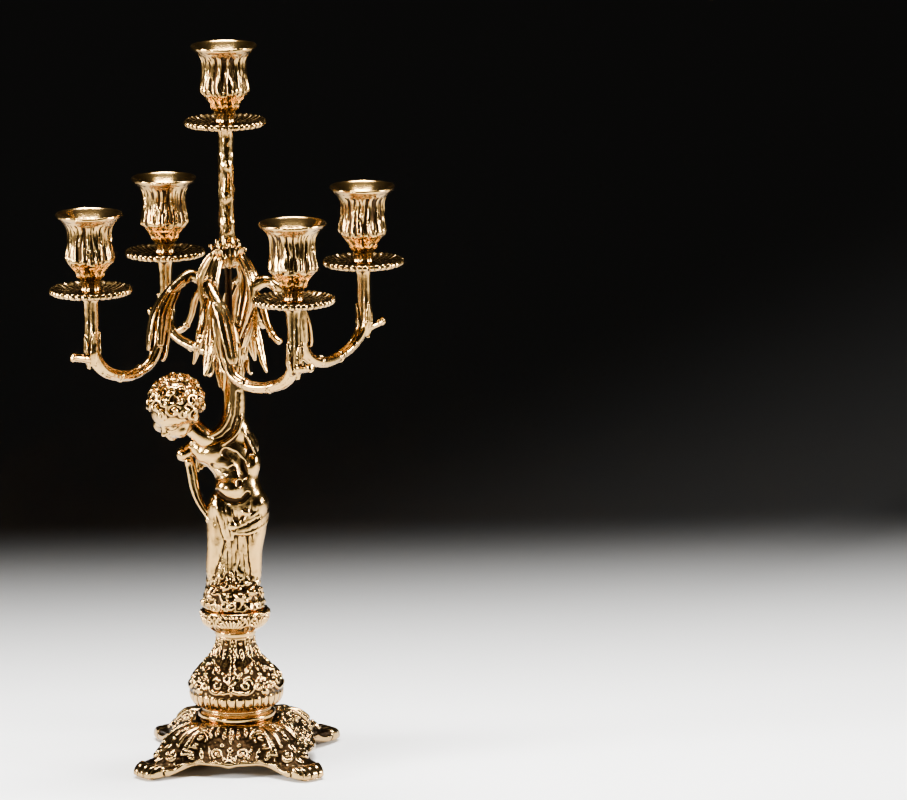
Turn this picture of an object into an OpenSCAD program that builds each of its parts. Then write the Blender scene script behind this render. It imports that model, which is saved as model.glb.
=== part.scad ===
// Five-light table candelabra: a cast brass putto on a baluster foot carries a cage of four leafy
// scroll arms and a tall middle stem, each ending in a drip pan and a candle socket.
// Origin on the floor under the column, +Z up, base faces -Y.

/* [Base] */
// Height of the flat seat on top of the base
base_h = 28; // [24:1:34]
// Radius of the apron's lower edge at the middle of a side
apron_r = 49; // [44:1:54]
// Height of the apron's lower edge above the floor
apron_lift = 7.5; // [5:0.5:10]
// Radius to the knee, where a leg turns down from the shoulder
knee_r = 54; // [50:1:58]
// Radius to the tip of a foot
foot_tip_r = 78.5; // [75:0.5:85]
// Height of a rounded foot
foot_h = 9; // [7:0.5:10]
// Thickness of the base's cast wall
base_wall = 4; // [3:0.5:4.5]

/* [Column] */
// Radius of the ring under the bulb
foot_ring_r = 24.2; // [22:0.2:26]
// Height of the ring under the bulb
foot_ring_h = 7.5; // [6:0.5:10]
// Largest radius of the bulb
bulb_r = 29.6; // [27:0.2:33]
// Height of the bulb
bulb_h = 45; // [38:1:54]
// Radius of the bulb's neck
neck_r = 12.4; // [11.5:0.1:14]
// Height of the plain ring above the bulb
neck_ring_h = 3.5; // [2.5:0.5:5]
// Height of the leafy collar
collar_h = 13.5; // [11:0.5:17]
// Largest radius of the collar
collar_r = 21.5; // [20:0.1:24]
// Wall thickness of the hollow bulb
bulb_wall = 2.6; // [2:0.1:3.2]

/* [Figure] */
// Height of the figure, from the collar to the lower hub
figure_h = 150; // [125:1:180]
// Turn of the figure about the column, in degrees
figure_turn = 7; // [-20:1:20]
// Radius of the rocky mound under the feet
mound_r = 20.4; // [18:0.1:21]
// Radius of the raised arm at its top
raised_arm_r = 7.4; // [6.5:0.1:8]

/* [Cage] */
// Height of the lower hub
lower_hub_h = 31.5; // [27:0.5:38]
// Largest radius of the lower hub
lower_hub_r = 12; // [10:0.5:13]
// Height of the clear space between the two hubs
cage_h = 35; // [30:1:42]
// Height of the upper hub
upper_hub_h = 15; // [13:1:18]
// Largest radius of the upper hub
upper_hub_r = 9.9; // [9:0.1:11]
// Distance from the column to the widest place of a cage rib
rib_r = 19.6; // [18:0.2:23]

/* [Arms] */
// Direction of the first arm, in degrees from +X
arm_turn = -58; // [-75:1:-40]
// Distance from the column to the middle of an outer socket
arm_reach = 93.3; // [80:0.1:112]
// Drop of the outer pans below the underside of the upper hub
arm_pan_drop = 9.5; // [4:0.5:14]
// Depth of an arm's low bend below its pan
arm_sag = 54.5; // [46:0.5:64]
// Radius of an arm at its low bend
arm_bend_r = 3.2; // [2.8:0.1:4]
// Radius of an arm's upright shaft
arm_shaft_r = 4.6; // [4:0.1:5.5]
// Radius of an arm's end under the pan
arm_end_r = 6.4; // [5.5:0.1:7]

/* [Middle stem] */
// Length of the stem above the upper hub
stem_h = 72; // [60:1:90]
// Radius of the stem
stem_r = 5.1; // [4.6:0.1:6]

/* [Pans and sockets] */
// Radius of a drip pan
pan_r = 25.5; // [23:0.5:30]
// Thickness of a pan's hub
pan_hub_h = 4; // [3:0.5:5]
// Height of a candle socket
socket_h = 48; // [44:1:56]
// Radius of a socket's rim
rim_r = 20.4; // [19:0.1:22]
// Largest radius of a socket's body
socket_r = 15.4; // [15:0.1:17]
// Diameter of the candle
candle_d = 22; // [21:0.1:23]
// Depth of the candle hole's straight wall
candle_depth = 22; // [20:1:24]

/* [Rods and clearances] */
// Radius of the tie rod through the column
tie_rod_r = 3; // [2.5:0.1:3.5]
// Radius of the rod through the cage
cage_rod_r = 2.2; // [2:0.1:2.5]
// Radius of the studs that hold the sockets and the lower hub
stud_r = 2.5; // [2:0.1:3]
// Radial clearance of a rod in a plain hole
rod_gap = 0.2; // [0.1:0.05:0.4]
// Radial clearance of a thread in its tapped hole
thread_gap = 0.05; // [0.02:0.01:0.1]
// Radial clearance of the candle in its socket
candle_gap = 0.25; // [0.15:0.05:0.4]

/* [Hidden] */

$fn = 64;
arm_count = 4;
brass = [0.80, 0.62, 0.32];
dark_brass = [0.55, 0.42, 0.22];
steel = [0.6, 0.6, 0.6];

// Heights of the joints, from the floor up
ring_z = base_h;
bulb_z = ring_z + foot_ring_h;
neck_ring_z = bulb_z + bulb_h;
collar_z = neck_ring_z + neck_ring_h;
figure_z = collar_z + collar_h;
lower_hub_z = figure_z + figure_h;
cage_z = lower_hub_z + lower_hub_h;
upper_hub_z = cage_z + cage_h;
stem_z = upper_hub_z + upper_hub_h;
top_pan_z = stem_z + stem_h;
arm_pan_z = upper_hub_z - arm_pan_drop;

// Fastener lengths
washer_h = 1.5;
washer_r = 8;
nut_h = 5;
nut_across_corners = 11.5;
rod_end = 3.5;
rod_bite = 20;
stud_bite = 9;
hole_spare = 1;
hub_web = 2;
tie_hole_r = tie_rod_r + rod_gap;
stud_hole_r = stud_r + thread_gap;

// ---- geometry helpers ----

// Point between p1 and p2 on a smooth curve through p0, p1, p2, p3
function curve_point(p0, p1, p2, p3, t) =
    0.5 * (2 * p1 + (p2 - p0) * t
        + (2 * p0 - 5 * p1 + 4 * p2 - p3) * t * t
        + (3 * p1 - p0 - 3 * p2 + p3) * t * t * t);

// Smooth curve through the points p, with n steps in each gap
function smooth(p, n) = [
    for (i = [0 : len(p) - 2], k = [0 : n - 1])
        curve_point(p[max(i - 1, 0)], p[i], p[i + 1], p[min(i + 2, len(p) - 1)], k / n),
    p[len(p) - 1]
];

function unit(v) = v / norm(v);
function xyz(p) = [p[0], p[1], p[2]];
function mix(a, b, t) = a + (b - a) * t;

// Direction of a path at point i
function heading(path, i) =
    unit(xyz(path[min(i + 1, len(path) - 1)]) - xyz(path[max(i - 1, 0)]));

// Oval ring of points across a path; each path point is [x, y, z, half width, half depth]
function ring(path, i, across, sides) =
    let (
        t = heading(path, i),
        s = unit(cross(t, across)),
        d = cross(s, t)
    )
    [for (k = [0 : sides - 1])
        let (a = 360 * k / sides)
        xyz(path[i]) + d * path[i][3] * cos(a) + s * path[i][4] * sin(a)];

// Closed skin over a stack of rings that have the same number of points
module skin(rings) {
    m = len(rings[0]);
    last = len(rings) - 1;
    polyhedron(
        points = [for (r = rings, p = r) p],
        faces = concat(
            [[for (k = [0 : m - 1]) k]],
            [for (i = [0 : last - 1], k = [0 : m - 1])
                [i * m + k, (i + 1) * m + (k + 1) % m, i * m + (k + 1) % m]],
            [for (i = [0 : last - 1], k = [0 : m - 1])
                [i * m + k, (i + 1) * m + k, (i + 1) * m + (k + 1) % m]],
            [[for (k = [m - 1 : -1 : 0]) last * m + k]]
        )
    );
}

// Bar swept along a path; its half width is measured along the direction "across"
module bar(path, across, sides) {
    skin([for (i = [0 : len(path) - 1]) ring(path, i, across, sides)]);
}

module at_arm(k) {
    rotate([0, 0, arm_turn + 360 / arm_count * k]) children();
}

module at_arm_end(k) {
    at_arm(k) translate([arm_reach, 0, arm_pan_z]) children();
}

module rod(r, z_low, z_high) {
    translate([0, 0, z_low]) cylinder(r = r, h = z_high - z_low);
}

// ---- base ----

base_sides = 80;
base_seat_r = foot_ring_r + 1.5;
// Half the width of a foot's flat sole, in degrees: one step of the ring
sole_half = 360 / base_sides;

// 1 over a leg, falling to 0 at the middle of a side; wide is the spread in degrees
function leg_share(a, wide) =
    let (off = max(abs((a % 90) - 45) - sole_half, 0))
    exp(-pow(off / wide, 2));

// Ring of the base: radius and height at a side's middle and over a leg
function base_ring(side_r, leg_r, side_z, leg_z, wide) =
    [for (k = [0 : base_sides - 1])
        let (
            a = 360 * k / base_sides,
            w = leg_share(a, wide),
            r = mix(side_r, leg_r, w)
        )
        [r * cos(a), r * sin(a), mix(side_z, leg_z, w)]];

base_rings = [
    base_ring(base_seat_r / 2, base_seat_r / 2, base_h, base_h, 30),
    base_ring(base_seat_r, base_seat_r, base_h, base_h, 30),
    base_ring(apron_r - 17, knee_r - 12, base_h - 5, base_h - 1.2, 18),
    base_ring(apron_r - 11.5, knee_r - 4, base_h - 9.5, base_h - 5.5, 15),
    base_ring(apron_r - 6, knee_r + 1.5, base_h - 14, base_h - 11, 14),
    base_ring(apron_r - 2, foot_tip_r - 17, apron_lift + 3.5, foot_h + 2.5, 12),
    base_ring(apron_r - 0.8, foot_tip_r - 11, apron_lift + 2.6, foot_h + 0.2, 10),
    base_ring(apron_r - 0.2, foot_tip_r - 4.5, apron_lift + 1.8, foot_h, 9.2),
    base_ring(apron_r, foot_tip_r - 0.8, apron_lift + 1.2, 0.65 * foot_h, 9),
    base_ring(apron_r - 0.1, foot_tip_r, apron_lift + 0.7, 0.3 * foot_h, 9),
    base_ring(apron_r - 0.6, foot_tip_r - 2, apron_lift, 0, 9),
    base_ring(apron_r - base_wall, foot_tip_r - 18, apron_lift, 0, 9),
    base_ring(apron_r - base_wall - 2, knee_r + 1, apron_lift + 1.5, 4.5, 9.5),
    base_ring(apron_r - base_wall - 7.5, knee_r - 4, base_h - 14, base_h - 16.5, 10),
    base_ring(apron_r - base_wall - 13.5, knee_r - 13, base_h - 8.5, base_h - 9, 12),
    base_ring(base_seat_r - 2, base_seat_r - 2, base_h - base_wall, base_h - base_wall, 30),
    base_ring(base_seat_r / 2, base_seat_r / 2, base_h - base_wall, base_h - base_wall, 30)
];

module base_casting() {
    color(dark_brass)
    difference() {
        skin(base_rings);
        rod(tie_hole_r, base_h - 2 * base_wall, base_h + 1);
    }
}

// ---- column ----

module foot_ring() {
    color(brass)
    translate([0, 0, ring_z])
    rotate_extrude()
    polygon([
        [tie_hole_r, 0],
        [foot_ring_r - 1.4, 0],
        [foot_ring_r, 1.2],
        [foot_ring_r, 3.6],
        [foot_ring_r - 1.2, 4.8],
        [foot_ring_r - 2.6, 5.4],
        [foot_ring_r - 2.6, foot_ring_h],
        [tie_hole_r, foot_ring_h]
    ]);
}

// Outline of the bulb: [share of the way from neck to belly, share of the height]
bulb_shape = [
    [0.62, 0], [0.86, 0.06], [0.97, 0.14], [1, 0.23], [0.99, 0.32], [0.91, 0.40],
    [0.73, 0.49], [0.53, 0.575], [0.35, 0.66], [0.18, 0.745], [0.06, 0.83], [0, 0.91], [0.01, 1]
];
bulb_outline = [
    for (p = smooth(bulb_shape, 3)) [mix(neck_r, bulb_r, p[0]), p[1] * bulb_h]
];

module bulb() {
    color(brass)
    translate([0, 0, bulb_z])
    rotate_extrude()
    polygon(concat(
        bulb_outline,
        [for (i = [len(bulb_outline) - 1 : -1 : 0]) bulb_outline[i] - [bulb_wall, 0]]
    ));
}

module neck_ring() {
    color(brass)
    translate([0, 0, neck_ring_z])
    rotate_extrude()
    polygon([
        [tie_hole_r, 0],
        [neck_r, 0],
        [neck_r + 0.6, neck_ring_h * 0.3],
        [neck_r + 0.6, neck_ring_h * 0.7],
        [neck_r, neck_ring_h],
        [tie_hole_r, neck_ring_h]
    ]);
}

module collar() {
    low_r = neck_r + 0.4;
    outline = smooth([
        [low_r, 0],
        [low_r + 2, 0.06 * collar_h],
        [mix(low_r, collar_r, 0.76), 0.32 * collar_h],
        [mix(low_r, collar_r, 0.93), 0.6 * collar_h],
        [collar_r, 0.88 * collar_h],
        [collar_r - 0.5, collar_h]
    ], 3);
    color(brass)
    translate([0, 0, collar_z])
    rotate_extrude()
    polygon(concat([[tie_hole_r, 0]], outline, [[tie_hole_r, collar_h]]));
}

module tie_rod() {
    color(steel)
    rod(tie_rod_r, base_h - base_wall - washer_h - nut_h - rod_end, figure_z + rod_bite);
}

module base_washer() {
    top = base_h - base_wall;
    color(steel)
    difference() {
        rod(washer_r, top - washer_h, top);
        rod(tie_hole_r, top - 2 * washer_h, top + 1);
    }
}

module base_nut() {
    top = base_h - base_wall - washer_h;
    color(steel)
    difference() {
        translate([0, 0, top - nut_h]) cylinder(d = nut_across_corners, h = nut_h, $fn = 6);
        rod(tie_rod_r + thread_gap, top - nut_h - 1, top + 1);
    }
}

// ---- figure ----
// Levels of the body, drawn 150 high: [x, y, height, half width, half depth].
// It stands on a rocky mound, sways at the hips, and its raised arm carries the lower hub.

body_levels = [
    [-0.2, 0, 0, 20.2, 19.5],
    [-0.5, 0, 6, 19.5, 17.5],
    [-1.8, 0, 13, 18.4, 15],
    [-1.2, 0, 21, 17.8, 13.5],
    [0.1, 0, 29, 17.9, 12.5],
    [0.7, 0, 37, 17.3, 12],
    [1.7, 0, 47, 16.9, 12.5],
    [2.7, 0, 57, 18.2, 13.5],
    [3.4, -0.5, 64, 18.3, 13.8],
    [3.9, -1, 72, 16.6, 13.5],
    [3.3, -1.2, 80, 14.8, 12.8],
    [2.2, -0.6, 86, 14.8, 12],
    [-1.5, 0, 92, 16.5, 11.5],
    [-4.5, 0, 98, 18.5, 11],
    [-6.3, 0, 104, 20, 10],
    [-5.8, 0, 109, 18.5, 8.8],
    [-1.5, 0, 114, 11.5, 7.8],
    [0.6, 0, 119, 8, 7.4],
    [1.9, 0, 127, 7.5, 7.2],
    [2.1, 0, 138, 7.4, 7.2],
    [0.8, 0, 150, 7.4, 7.4]
];
body_sides = 28;
body_scale = figure_h / 150;
body_top = body_levels[len(body_levels) - 1];

// The lowest level takes the mound's radius, and the highest is round and over the column
function body_level(p) =
    let (up = p[2] / body_top[2])
    [
        mix(p[0], 0, pow(up, 24)),
        p[1],
        p[2] * body_scale,
        p[3] * (up == 0 ? mound_r / body_levels[0][3] : 1),
        p[4]
    ];

function level_ring(p) =
    [for (k = [0 : body_sides - 1])
        let (a = 360 * k / body_sides)
        [p[0] + p[3] * cos(a), p[1] + p[4] * sin(a), p[2]]];

module body_solid() {
    skin([for (p = smooth([for (p = body_levels) body_level(p)], 2)) level_ring(p)]);
}

module in_figure() {
    translate([0, 0, figure_z]) rotate([0, 0, figure_turn]) children();
}

module figure_body() {
    color(brass)
    difference() {
        in_figure() body_solid();
        rod(tie_rod_r + thread_gap, figure_z - 1, figure_z + rod_bite + hole_spare);
        rod(stud_hole_r, lower_hub_z - stud_bite - hole_spare, lower_hub_z + 1);
    }
}

// Neck and head: [x, y, height, half width, half depth], head tilted to -X and forwards
neck_z = 108 * body_scale;
neck_half = 6.6;
head_path = smooth([
    [-13, -2, neck_z, neck_half, neck_half],
    [-19, -4.5, neck_z + 6, neck_half, neck_half],
    [-22, -6, neck_z + 10, 10, 9.5],
    [-26, -8.5, neck_z + 15, 15.5, 15.5],
    [-31.5, -11.5, neck_z + 21.5, 18, 18],
    [-36.5, -14, neck_z + 28, 17.6, 17.6],
    [-41, -16, neck_z + 34, 13, 13],
    [-43, -17, neck_z + 37, 5, 5]
], 2);

module figure_head() {
    color(brass)
    difference() {
        in_figure() bar(head_path, [0.6, 0, 0.8], 20);
        in_figure() body_solid();
    }
}

// Bent arm: [x, y, height, half width, half depth], from the shoulder out to the elbow and
// down to the hand on the hip
bent_arm_path = smooth([
    [-17, 3, 104 * body_scale, 5, 5],
    [-25, 3, 102 * body_scale, 4.6, 4.6],
    [-31, 1, 98 * body_scale, 4.2, 4.4],
    [-29.5, 0, 91 * body_scale, 3.2, 3.4],
    [-26.5, -1, 83 * body_scale, 2.7, 2.9],
    [-24, -1, 74 * body_scale, 2.6, 2.8],
    [-20, -1, 65 * body_scale, 2.5, 2.6],
    [-14, -1, 57 * body_scale, 2.4, 2.4]
], 2);

module figure_bent_arm() {
    color(brass)
    difference() {
        in_figure() bar(bent_arm_path, [0, 1, 0], 12);
        in_figure() body_solid();
    }
}

module figure_stud() {
    color(steel) rod(stud_r, lower_hub_z - stud_bite, lower_hub_z + stud_bite - hole_spare);
}

// ---- cage ----

module lower_hub_outline(hole_r) {
    h = lower_hub_h;
    polygon(concat(
        [[hole_r, 0]],
        smooth([
            [raised_arm_r, 0],
            [raised_arm_r + 0.8, 0.16 * h],
            [mix(raised_arm_r, lower_hub_r, 0.7), 0.35 * h],
            [lower_hub_r, 0.55 * h],
            [lower_hub_r - 0.6, 0.72 * h],
            [lower_hub_r - 3.5, 0.9 * h],
            [cage_rod_r + 2, h]
        ], 2),
        hole_r == 0 ? [[0, h]] : [
            [cage_rod_r + thread_gap, h],
            [cage_rod_r + thread_gap, stud_bite + hub_web],
            [0, stud_bite + hub_web],
            [0, stud_bite],
            [hole_r, stud_bite]
        ]
    ));
}

module lower_hub() {
    color(brass)
    translate([0, 0, lower_hub_z])
    rotate_extrude()
    lower_hub_outline(stud_hole_r);
}

module upper_hub_outline(hole_r) {
    h = upper_hub_h;
    polygon([
        [hole_r, 0],
        [cage_rod_r + 2.8, 0],
        [upper_hub_r - 1.5, 0.2 * h],
        [upper_hub_r, 0.4 * h],
        [upper_hub_r - 0.4, 0.6 * h],
        [stem_r + 2, 0.85 * h],
        [stem_r + 0.8, h],
        [hole_r, h]
    ]);
}

module upper_hub() {
    color(brass)
    translate([0, 0, upper_hub_z])
    rotate_extrude()
    upper_hub_outline(cage_rod_r + rod_gap);
}

module cage_rod() {
    color(dark_brass)
    rod(cage_rod_r, lower_hub_z + stud_bite + hub_web, stem_z + stud_bite);
}

module stem() {
    color(brass)
    translate([0, 0, stem_z])
    rotate_extrude()
    polygon(concat(
        [[cage_rod_r + thread_gap, 0]],
        smooth([
            [stem_r + 0.8, 0],
            [stem_r + 0.1, 0.1 * stem_h],
            [stem_r, 0.3 * stem_h],
            [stem_r - 0.3, 0.6 * stem_h],
            [stem_r - 0.2, 0.9 * stem_h],
            [stem_r + 0.5, stem_h]
        ], 3),
        [
            [stud_hole_r, stem_h],
            [stud_hole_r, stem_h - stud_bite - hole_spare],
            [0, stem_h - stud_bite - hole_spare],
            [0, stud_bite],
            [cage_rod_r + thread_gap, stud_bite]
        ]
    ));
}

// ---- arms ----
// An arm springs from a rib of the cage. In its own frame +X points to its socket, and the rib
// stands to one side of that direction, so the four arms whirl round the column.

rib_swing = -59.7;
branch_z = upper_hub_z - 10;
low_z = arm_pan_z - arm_sag;

// Point at a distance r from the column in the rib's plane
function on_rib(r, z, wide, deep) =
    [r * cos(rib_swing), r * sin(rib_swing), z, wide, deep];

// Point between the rib and the socket: share of the reach, side step, share of the sag
function on_arm(u, v, down, r) =
    let (x0 = rib_r * cos(rib_swing))
    [mix(x0, arm_reach, u), v, arm_pan_z - down * arm_sag, r, r];

arm_path = smooth([
    on_rib(rib_r, branch_z, 4.4, 4.4),
    [0.8 * rib_r, -20.9, branch_z + 3, 3.7, 3.7],
    on_arm(0.16, -21.4, 0.03, 3.8),
    on_arm(0.27, -21.3, 0.18, 4.4),
    on_arm(0.325, -20.8, 0.38, 5),
    on_arm(0.34, -20.4, 0.58, 5),
    on_arm(0.37, -19.8, 0.77, 4.5),
    on_arm(0.45, -18.4, 0.93, 3.8),
    on_arm(0.63, -11.6, 1, arm_bend_r),
    on_arm(0.84, -3.2, 0.92, 3.7),
    on_arm(0.96, -0.4, 0.76, arm_shaft_r - 0.3),
    on_arm(1, 0, 0.55, arm_shaft_r),
    on_arm(1, 0, 0.25, arm_shaft_r),
    on_arm(1, 0, 0, arm_end_r)
], 3);

rib_path = smooth([
    on_rib(5, upper_hub_z + 0.5 * upper_hub_h, 3.5, 3),
    on_rib(12, upper_hub_z + 0.2 * upper_hub_h, 4.5, 3.2),
    on_rib(rib_r - 1, branch_z, 6, 3.6),
    on_rib(rib_r - 2.5, mix(cage_z, upper_hub_z, 0.35), 5, 3.2),
    on_rib(12, cage_z, 4.6, 3.2),
    on_rib(5, cage_z - 0.35 * lower_hub_h, 4, 3)
], 3);

// Leaf that hangs inside the cage from the rib, with a curled tip
leaf_path = smooth([
    on_rib(rib_r, branch_z - 1, 2.4, 2.4),
    on_rib(rib_r, mix(cage_z, upper_hub_z, 0.3), 2.3, 2.3),
    on_rib(rib_r + 0.5, cage_z - 3, 4.2, 3.4),
    on_rib(rib_r + 3.5, cage_z - 16, 4, 3),
    on_rib(rib_r + 8.5, lower_hub_z + 1, 1, 0.8)
], 3);

// Cut twig that points outwards at the foot of the shaft
twig_path = [
    on_arm(0.98, -0.5, 0.74, 3.2),
    on_arm(1.08, 2, 0.7, 3),
    on_arm(1.19, 4, 0.66, 2.2)
];

module candle_arm(k) {
    color(brass)
    at_arm(k)
    difference() {
        union() {
            bar(arm_path, [0.2, 1, 0], 12);
            bar(rib_path, [-sin(rib_swing), cos(rib_swing), 0], 8);
            bar(leaf_path, [-sin(rib_swing), cos(rib_swing), 0], 8);
            bar(twig_path, [0, 1, 0], 8);
        }
        translate([0, 0, lower_hub_z]) rotate_extrude() lower_hub_outline(0);
        translate([0, 0, upper_hub_z]) rotate_extrude() upper_hub_outline(0);
        translate([arm_reach, 0, arm_pan_z]) rod(stud_hole_r, -stud_bite - hole_spare, 1);
    }
}

// ---- pans, sockets and their studs ----

module drip_pan() {
    h = pan_hub_h;
    color(brass)
    rotate_extrude()
    polygon([
        [stud_r + rod_gap, 0],
        [arm_end_r + 0.6, 0],
        [arm_end_r + 2.4, 1],
        [0.6 * pan_r, 1.2],
        [pan_r - 4.5, 1.4],
        [pan_r - 1, 2],
        [pan_r, 2.8],
        [pan_r, 5.6],
        [pan_r - 1.2, 5.6],
        [pan_r - 4.5, 3.9],
        [0.6 * pan_r, 2.9],
        [arm_end_r + 2.6, 3],
        [arm_end_r + 0.8, h],
        [stud_r + rod_gap, h]
    ]);
}

// Candle socket: a vase on a short foot with a flared rim
module candle_socket() {
    bore_r = candle_d / 2 + candle_gap;
    mouth_z = socket_h - 8;
    floor_z = mouth_z - candle_depth;
    outline = smooth([
        [6.2, 0], [5.7, 3.5], [6.2, 7], [7.6, 10], [10.2, 13], [13.4, 16.6],
        [socket_r, 19.6],
        [socket_r - 0.2, 22.5],
        [socket_r - 1.4, 29],
        [socket_r - 1.6, socket_h - 11.5],
        [socket_r - 0.3, socket_h - 7.5],
        [mix(socket_r, rim_r, 0.6), socket_h - 3.6],
        [rim_r, socket_h - 0.8]
    ], 2);
    color(brass)
    rotate_extrude()
    polygon(concat(
        [[stud_hole_r, 0]],
        outline,
        [
            [rim_r, socket_h],
            [rim_r - 1.2, socket_h],
            [bore_r + 3, mouth_z + 3.4],
            [bore_r, mouth_z],
            [bore_r, floor_z],
            [0, floor_z],
            [0, stud_bite],
            [stud_hole_r, stud_bite]
        ]
    ));
}

module socket_stud() {
    color(steel) rod(stud_r, -stud_bite, pan_hub_h + stud_bite - hole_spare);
}

module pan_at(k) {
    at_arm_end(k) drip_pan();
}

module socket_at(k) {
    at_arm_end(k) translate([0, 0, pan_hub_h]) candle_socket();
}

module stud_at(k) {
    at_arm_end(k) socket_stud();
}

base_casting();
foot_ring();
bulb();
neck_ring();
collar();
tie_rod();
base_washer();
base_nut();
figure_body();
figure_head();
figure_bent_arm();
figure_stud();
lower_hub();
cage_rod();
upper_hub();
stem();
candle_arm(0);  // arm_1
candle_arm(1);  // arm_2
candle_arm(2);  // arm_3
candle_arm(3);  // arm_4
translate([0, 0, top_pan_z]) drip_pan();  // pan_top
pan_at(0);  // pan_1
pan_at(1);  // pan_2
pan_at(2);  // pan_3
pan_at(3);  // pan_4
translate([0, 0, top_pan_z + pan_hub_h]) candle_socket();  // socket_top
socket_at(0);  // socket_1
socket_at(1);  // socket_2
socket_at(2);  // socket_3
socket_at(3);  // socket_4
translate([0, 0, top_pan_z]) socket_stud();  // stud_top
stud_at(0);  // stud_1
stud_at(1);  // stud_2
stud_at(2);  // stud_3
stud_at(3);  // stud_4
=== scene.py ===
"""Looks of the five-light candelabra: polished brass castings with brown patina and painted shade in their
hollows, on a pale floor.

All lengths are millimetres in this script until a mesh is made. The column stands on the origin.
"""

import math

import bpy
import numpy as np
from mathutils import Matrix, Vector


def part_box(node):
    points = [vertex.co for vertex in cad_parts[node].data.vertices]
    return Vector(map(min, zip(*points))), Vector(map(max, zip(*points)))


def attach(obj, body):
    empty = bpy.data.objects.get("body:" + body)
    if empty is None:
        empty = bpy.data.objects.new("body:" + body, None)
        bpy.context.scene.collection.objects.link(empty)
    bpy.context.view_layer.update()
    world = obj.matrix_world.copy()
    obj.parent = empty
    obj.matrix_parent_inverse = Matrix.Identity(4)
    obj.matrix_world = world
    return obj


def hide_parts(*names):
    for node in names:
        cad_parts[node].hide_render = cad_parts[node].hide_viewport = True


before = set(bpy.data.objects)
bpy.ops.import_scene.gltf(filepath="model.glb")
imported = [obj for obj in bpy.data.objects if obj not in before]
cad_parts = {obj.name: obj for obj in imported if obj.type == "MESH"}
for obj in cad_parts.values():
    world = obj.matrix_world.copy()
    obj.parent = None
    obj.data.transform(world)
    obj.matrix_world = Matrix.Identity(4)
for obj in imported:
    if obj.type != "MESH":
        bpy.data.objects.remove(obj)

MM = 0.001
TURN = 2 * math.pi


# ---------------------------------------------------------------- sizes taken from the frame


def span(node):
    """Lowest and highest corner of a CAD node, in mm."""
    low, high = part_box(node)
    return np.array(low) / MM, np.array(high) / MM


def height_of(node):
    low, high = span(node)
    return high[2] - low[2]


BASE_TOP = span("base_casting")[1][2]
RING_R = span("foot_ring")[1][0]
RING_Z = span("foot_ring")[0][2]
RING_H = height_of("foot_ring")
BULB_R = span("bulb")[1][0]
BULB_Z = span("bulb")[0][2]
BULB_H = height_of("bulb")
NECK_R = span("neck_ring")[1][0] - 0.6
NECK_Z = span("neck_ring")[0][2]
NECK_H = height_of("neck_ring")
COLLAR_R = span("collar")[1][0]
COLLAR_Z = span("collar")[0][2]
COLLAR_H = height_of("collar")
FIGURE_Z = span("figure_body")[0][2]
FIGURE_H = height_of("figure_body")
LOWER_HUB_Z = span("lower_hub")[0][2]
LOWER_HUB_H = height_of("lower_hub")
UPPER_HUB_Z = span("upper_hub")[0][2]
UPPER_HUB_H = height_of("upper_hub")
STEM_Z = span("stem")[0][2]
STEM_H = height_of("stem")
TOP_PAN_Z = span("pan_top")[0][2]
PAN_H = 4.0
PAN_R = span("pan_top")[1][0]
SOCKET_H = height_of("socket_top")
RIM_R = span("socket_top")[1][0]
ARM_PAN_Z = span("pan_1")[0][2]
ARM_COUNT = 4
SOCKET_1 = (span("socket_1")[0] + span("socket_1")[1]) / 2
REACH = math.hypot(SOCKET_1[0], SOCKET_1[1])
ARM_TURN = math.atan2(SOCKET_1[1], SOCKET_1[0])
FIGURE_TURN = math.radians(7)

STUD_HOLE_R = 2.55
TIE_HOLE_R = 3.2
CAGE_ROD_R = 2.2
CANDLE_R = 11.25
BASE_HOLE_R = 3.3
# Gap left at the flat ends of a piece, so that two seats never share a face
END_GAP = 0.03
# How far a stud reaches below the pan it clamps
STUD_DEPTH = 9


# ---------------------------------------------------------------- number helpers


def mix(a, b, t):
    return a + (b - a) * t


def smooth_step(low, high, x):
    t = np.clip((x - low) / (high - low), 0, 1)
    return t * t * (3 - 2 * t)


def curve(points, steps):
    """Smooth curve through the points, with a number of steps in each gap."""
    p = np.array(points, float)
    first = np.vstack([p[:1], p[:-1]])[:-1]
    last = np.vstack([p[2:], p[-1:]])
    out = []
    for k in range(steps):
        t = k / steps
        out.append(
            0.5
            * (
                2 * p[:-1]
                + (p[1:] - first) * t
                + (2 * first - 5 * p[:-1] + 4 * p[1:] - last) * t**2
                + (3 * p[:-1] - first - 3 * p[1:] + last) * t**3
            )
        )
    made = np.stack(out, 1).reshape(-1, p.shape[1])
    return np.vstack([made, p[-1:]])


def even(points, gap, least=2, measured=None):
    """The same line with points at an even distance, at least so many; measured is what is gone along."""
    p = np.array(points, float)
    steps = np.diff(p if measured is None else measured, axis=0)
    run = np.concatenate([[0], np.cumsum(np.linalg.norm(steps, axis=1))])
    at = np.linspace(0, run[-1], max(least, int(round(run[-1] / gap)) + 1))
    return np.stack([np.interp(at, run, p[:, k]) for k in range(p.shape[1])], 1)


def grain(angle, up, around, rows, seed):
    """Soft random bumps from -1 to 1. angle goes round once in a turn, up runs from 0 to 1."""
    g = np.random.default_rng(seed).uniform(-1, 1, (rows + 2, around))
    x = (angle / TURN % 1) * around
    y = np.clip(up, 0, 1) * rows
    i, j = np.floor(x).astype(int), np.floor(y).astype(int)
    fx, fy = x - i, y - j
    fx, fy = fx * fx * (3 - 2 * fx), fy * fy * (3 - 2 * fy)
    i0, i1 = i % around, (i + 1) % around
    low = mix(g[j, i0], g[j, i1], fx)
    high = mix(g[j + 1, i0], g[j + 1, i1], fx)
    return mix(low, high, fy)


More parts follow.
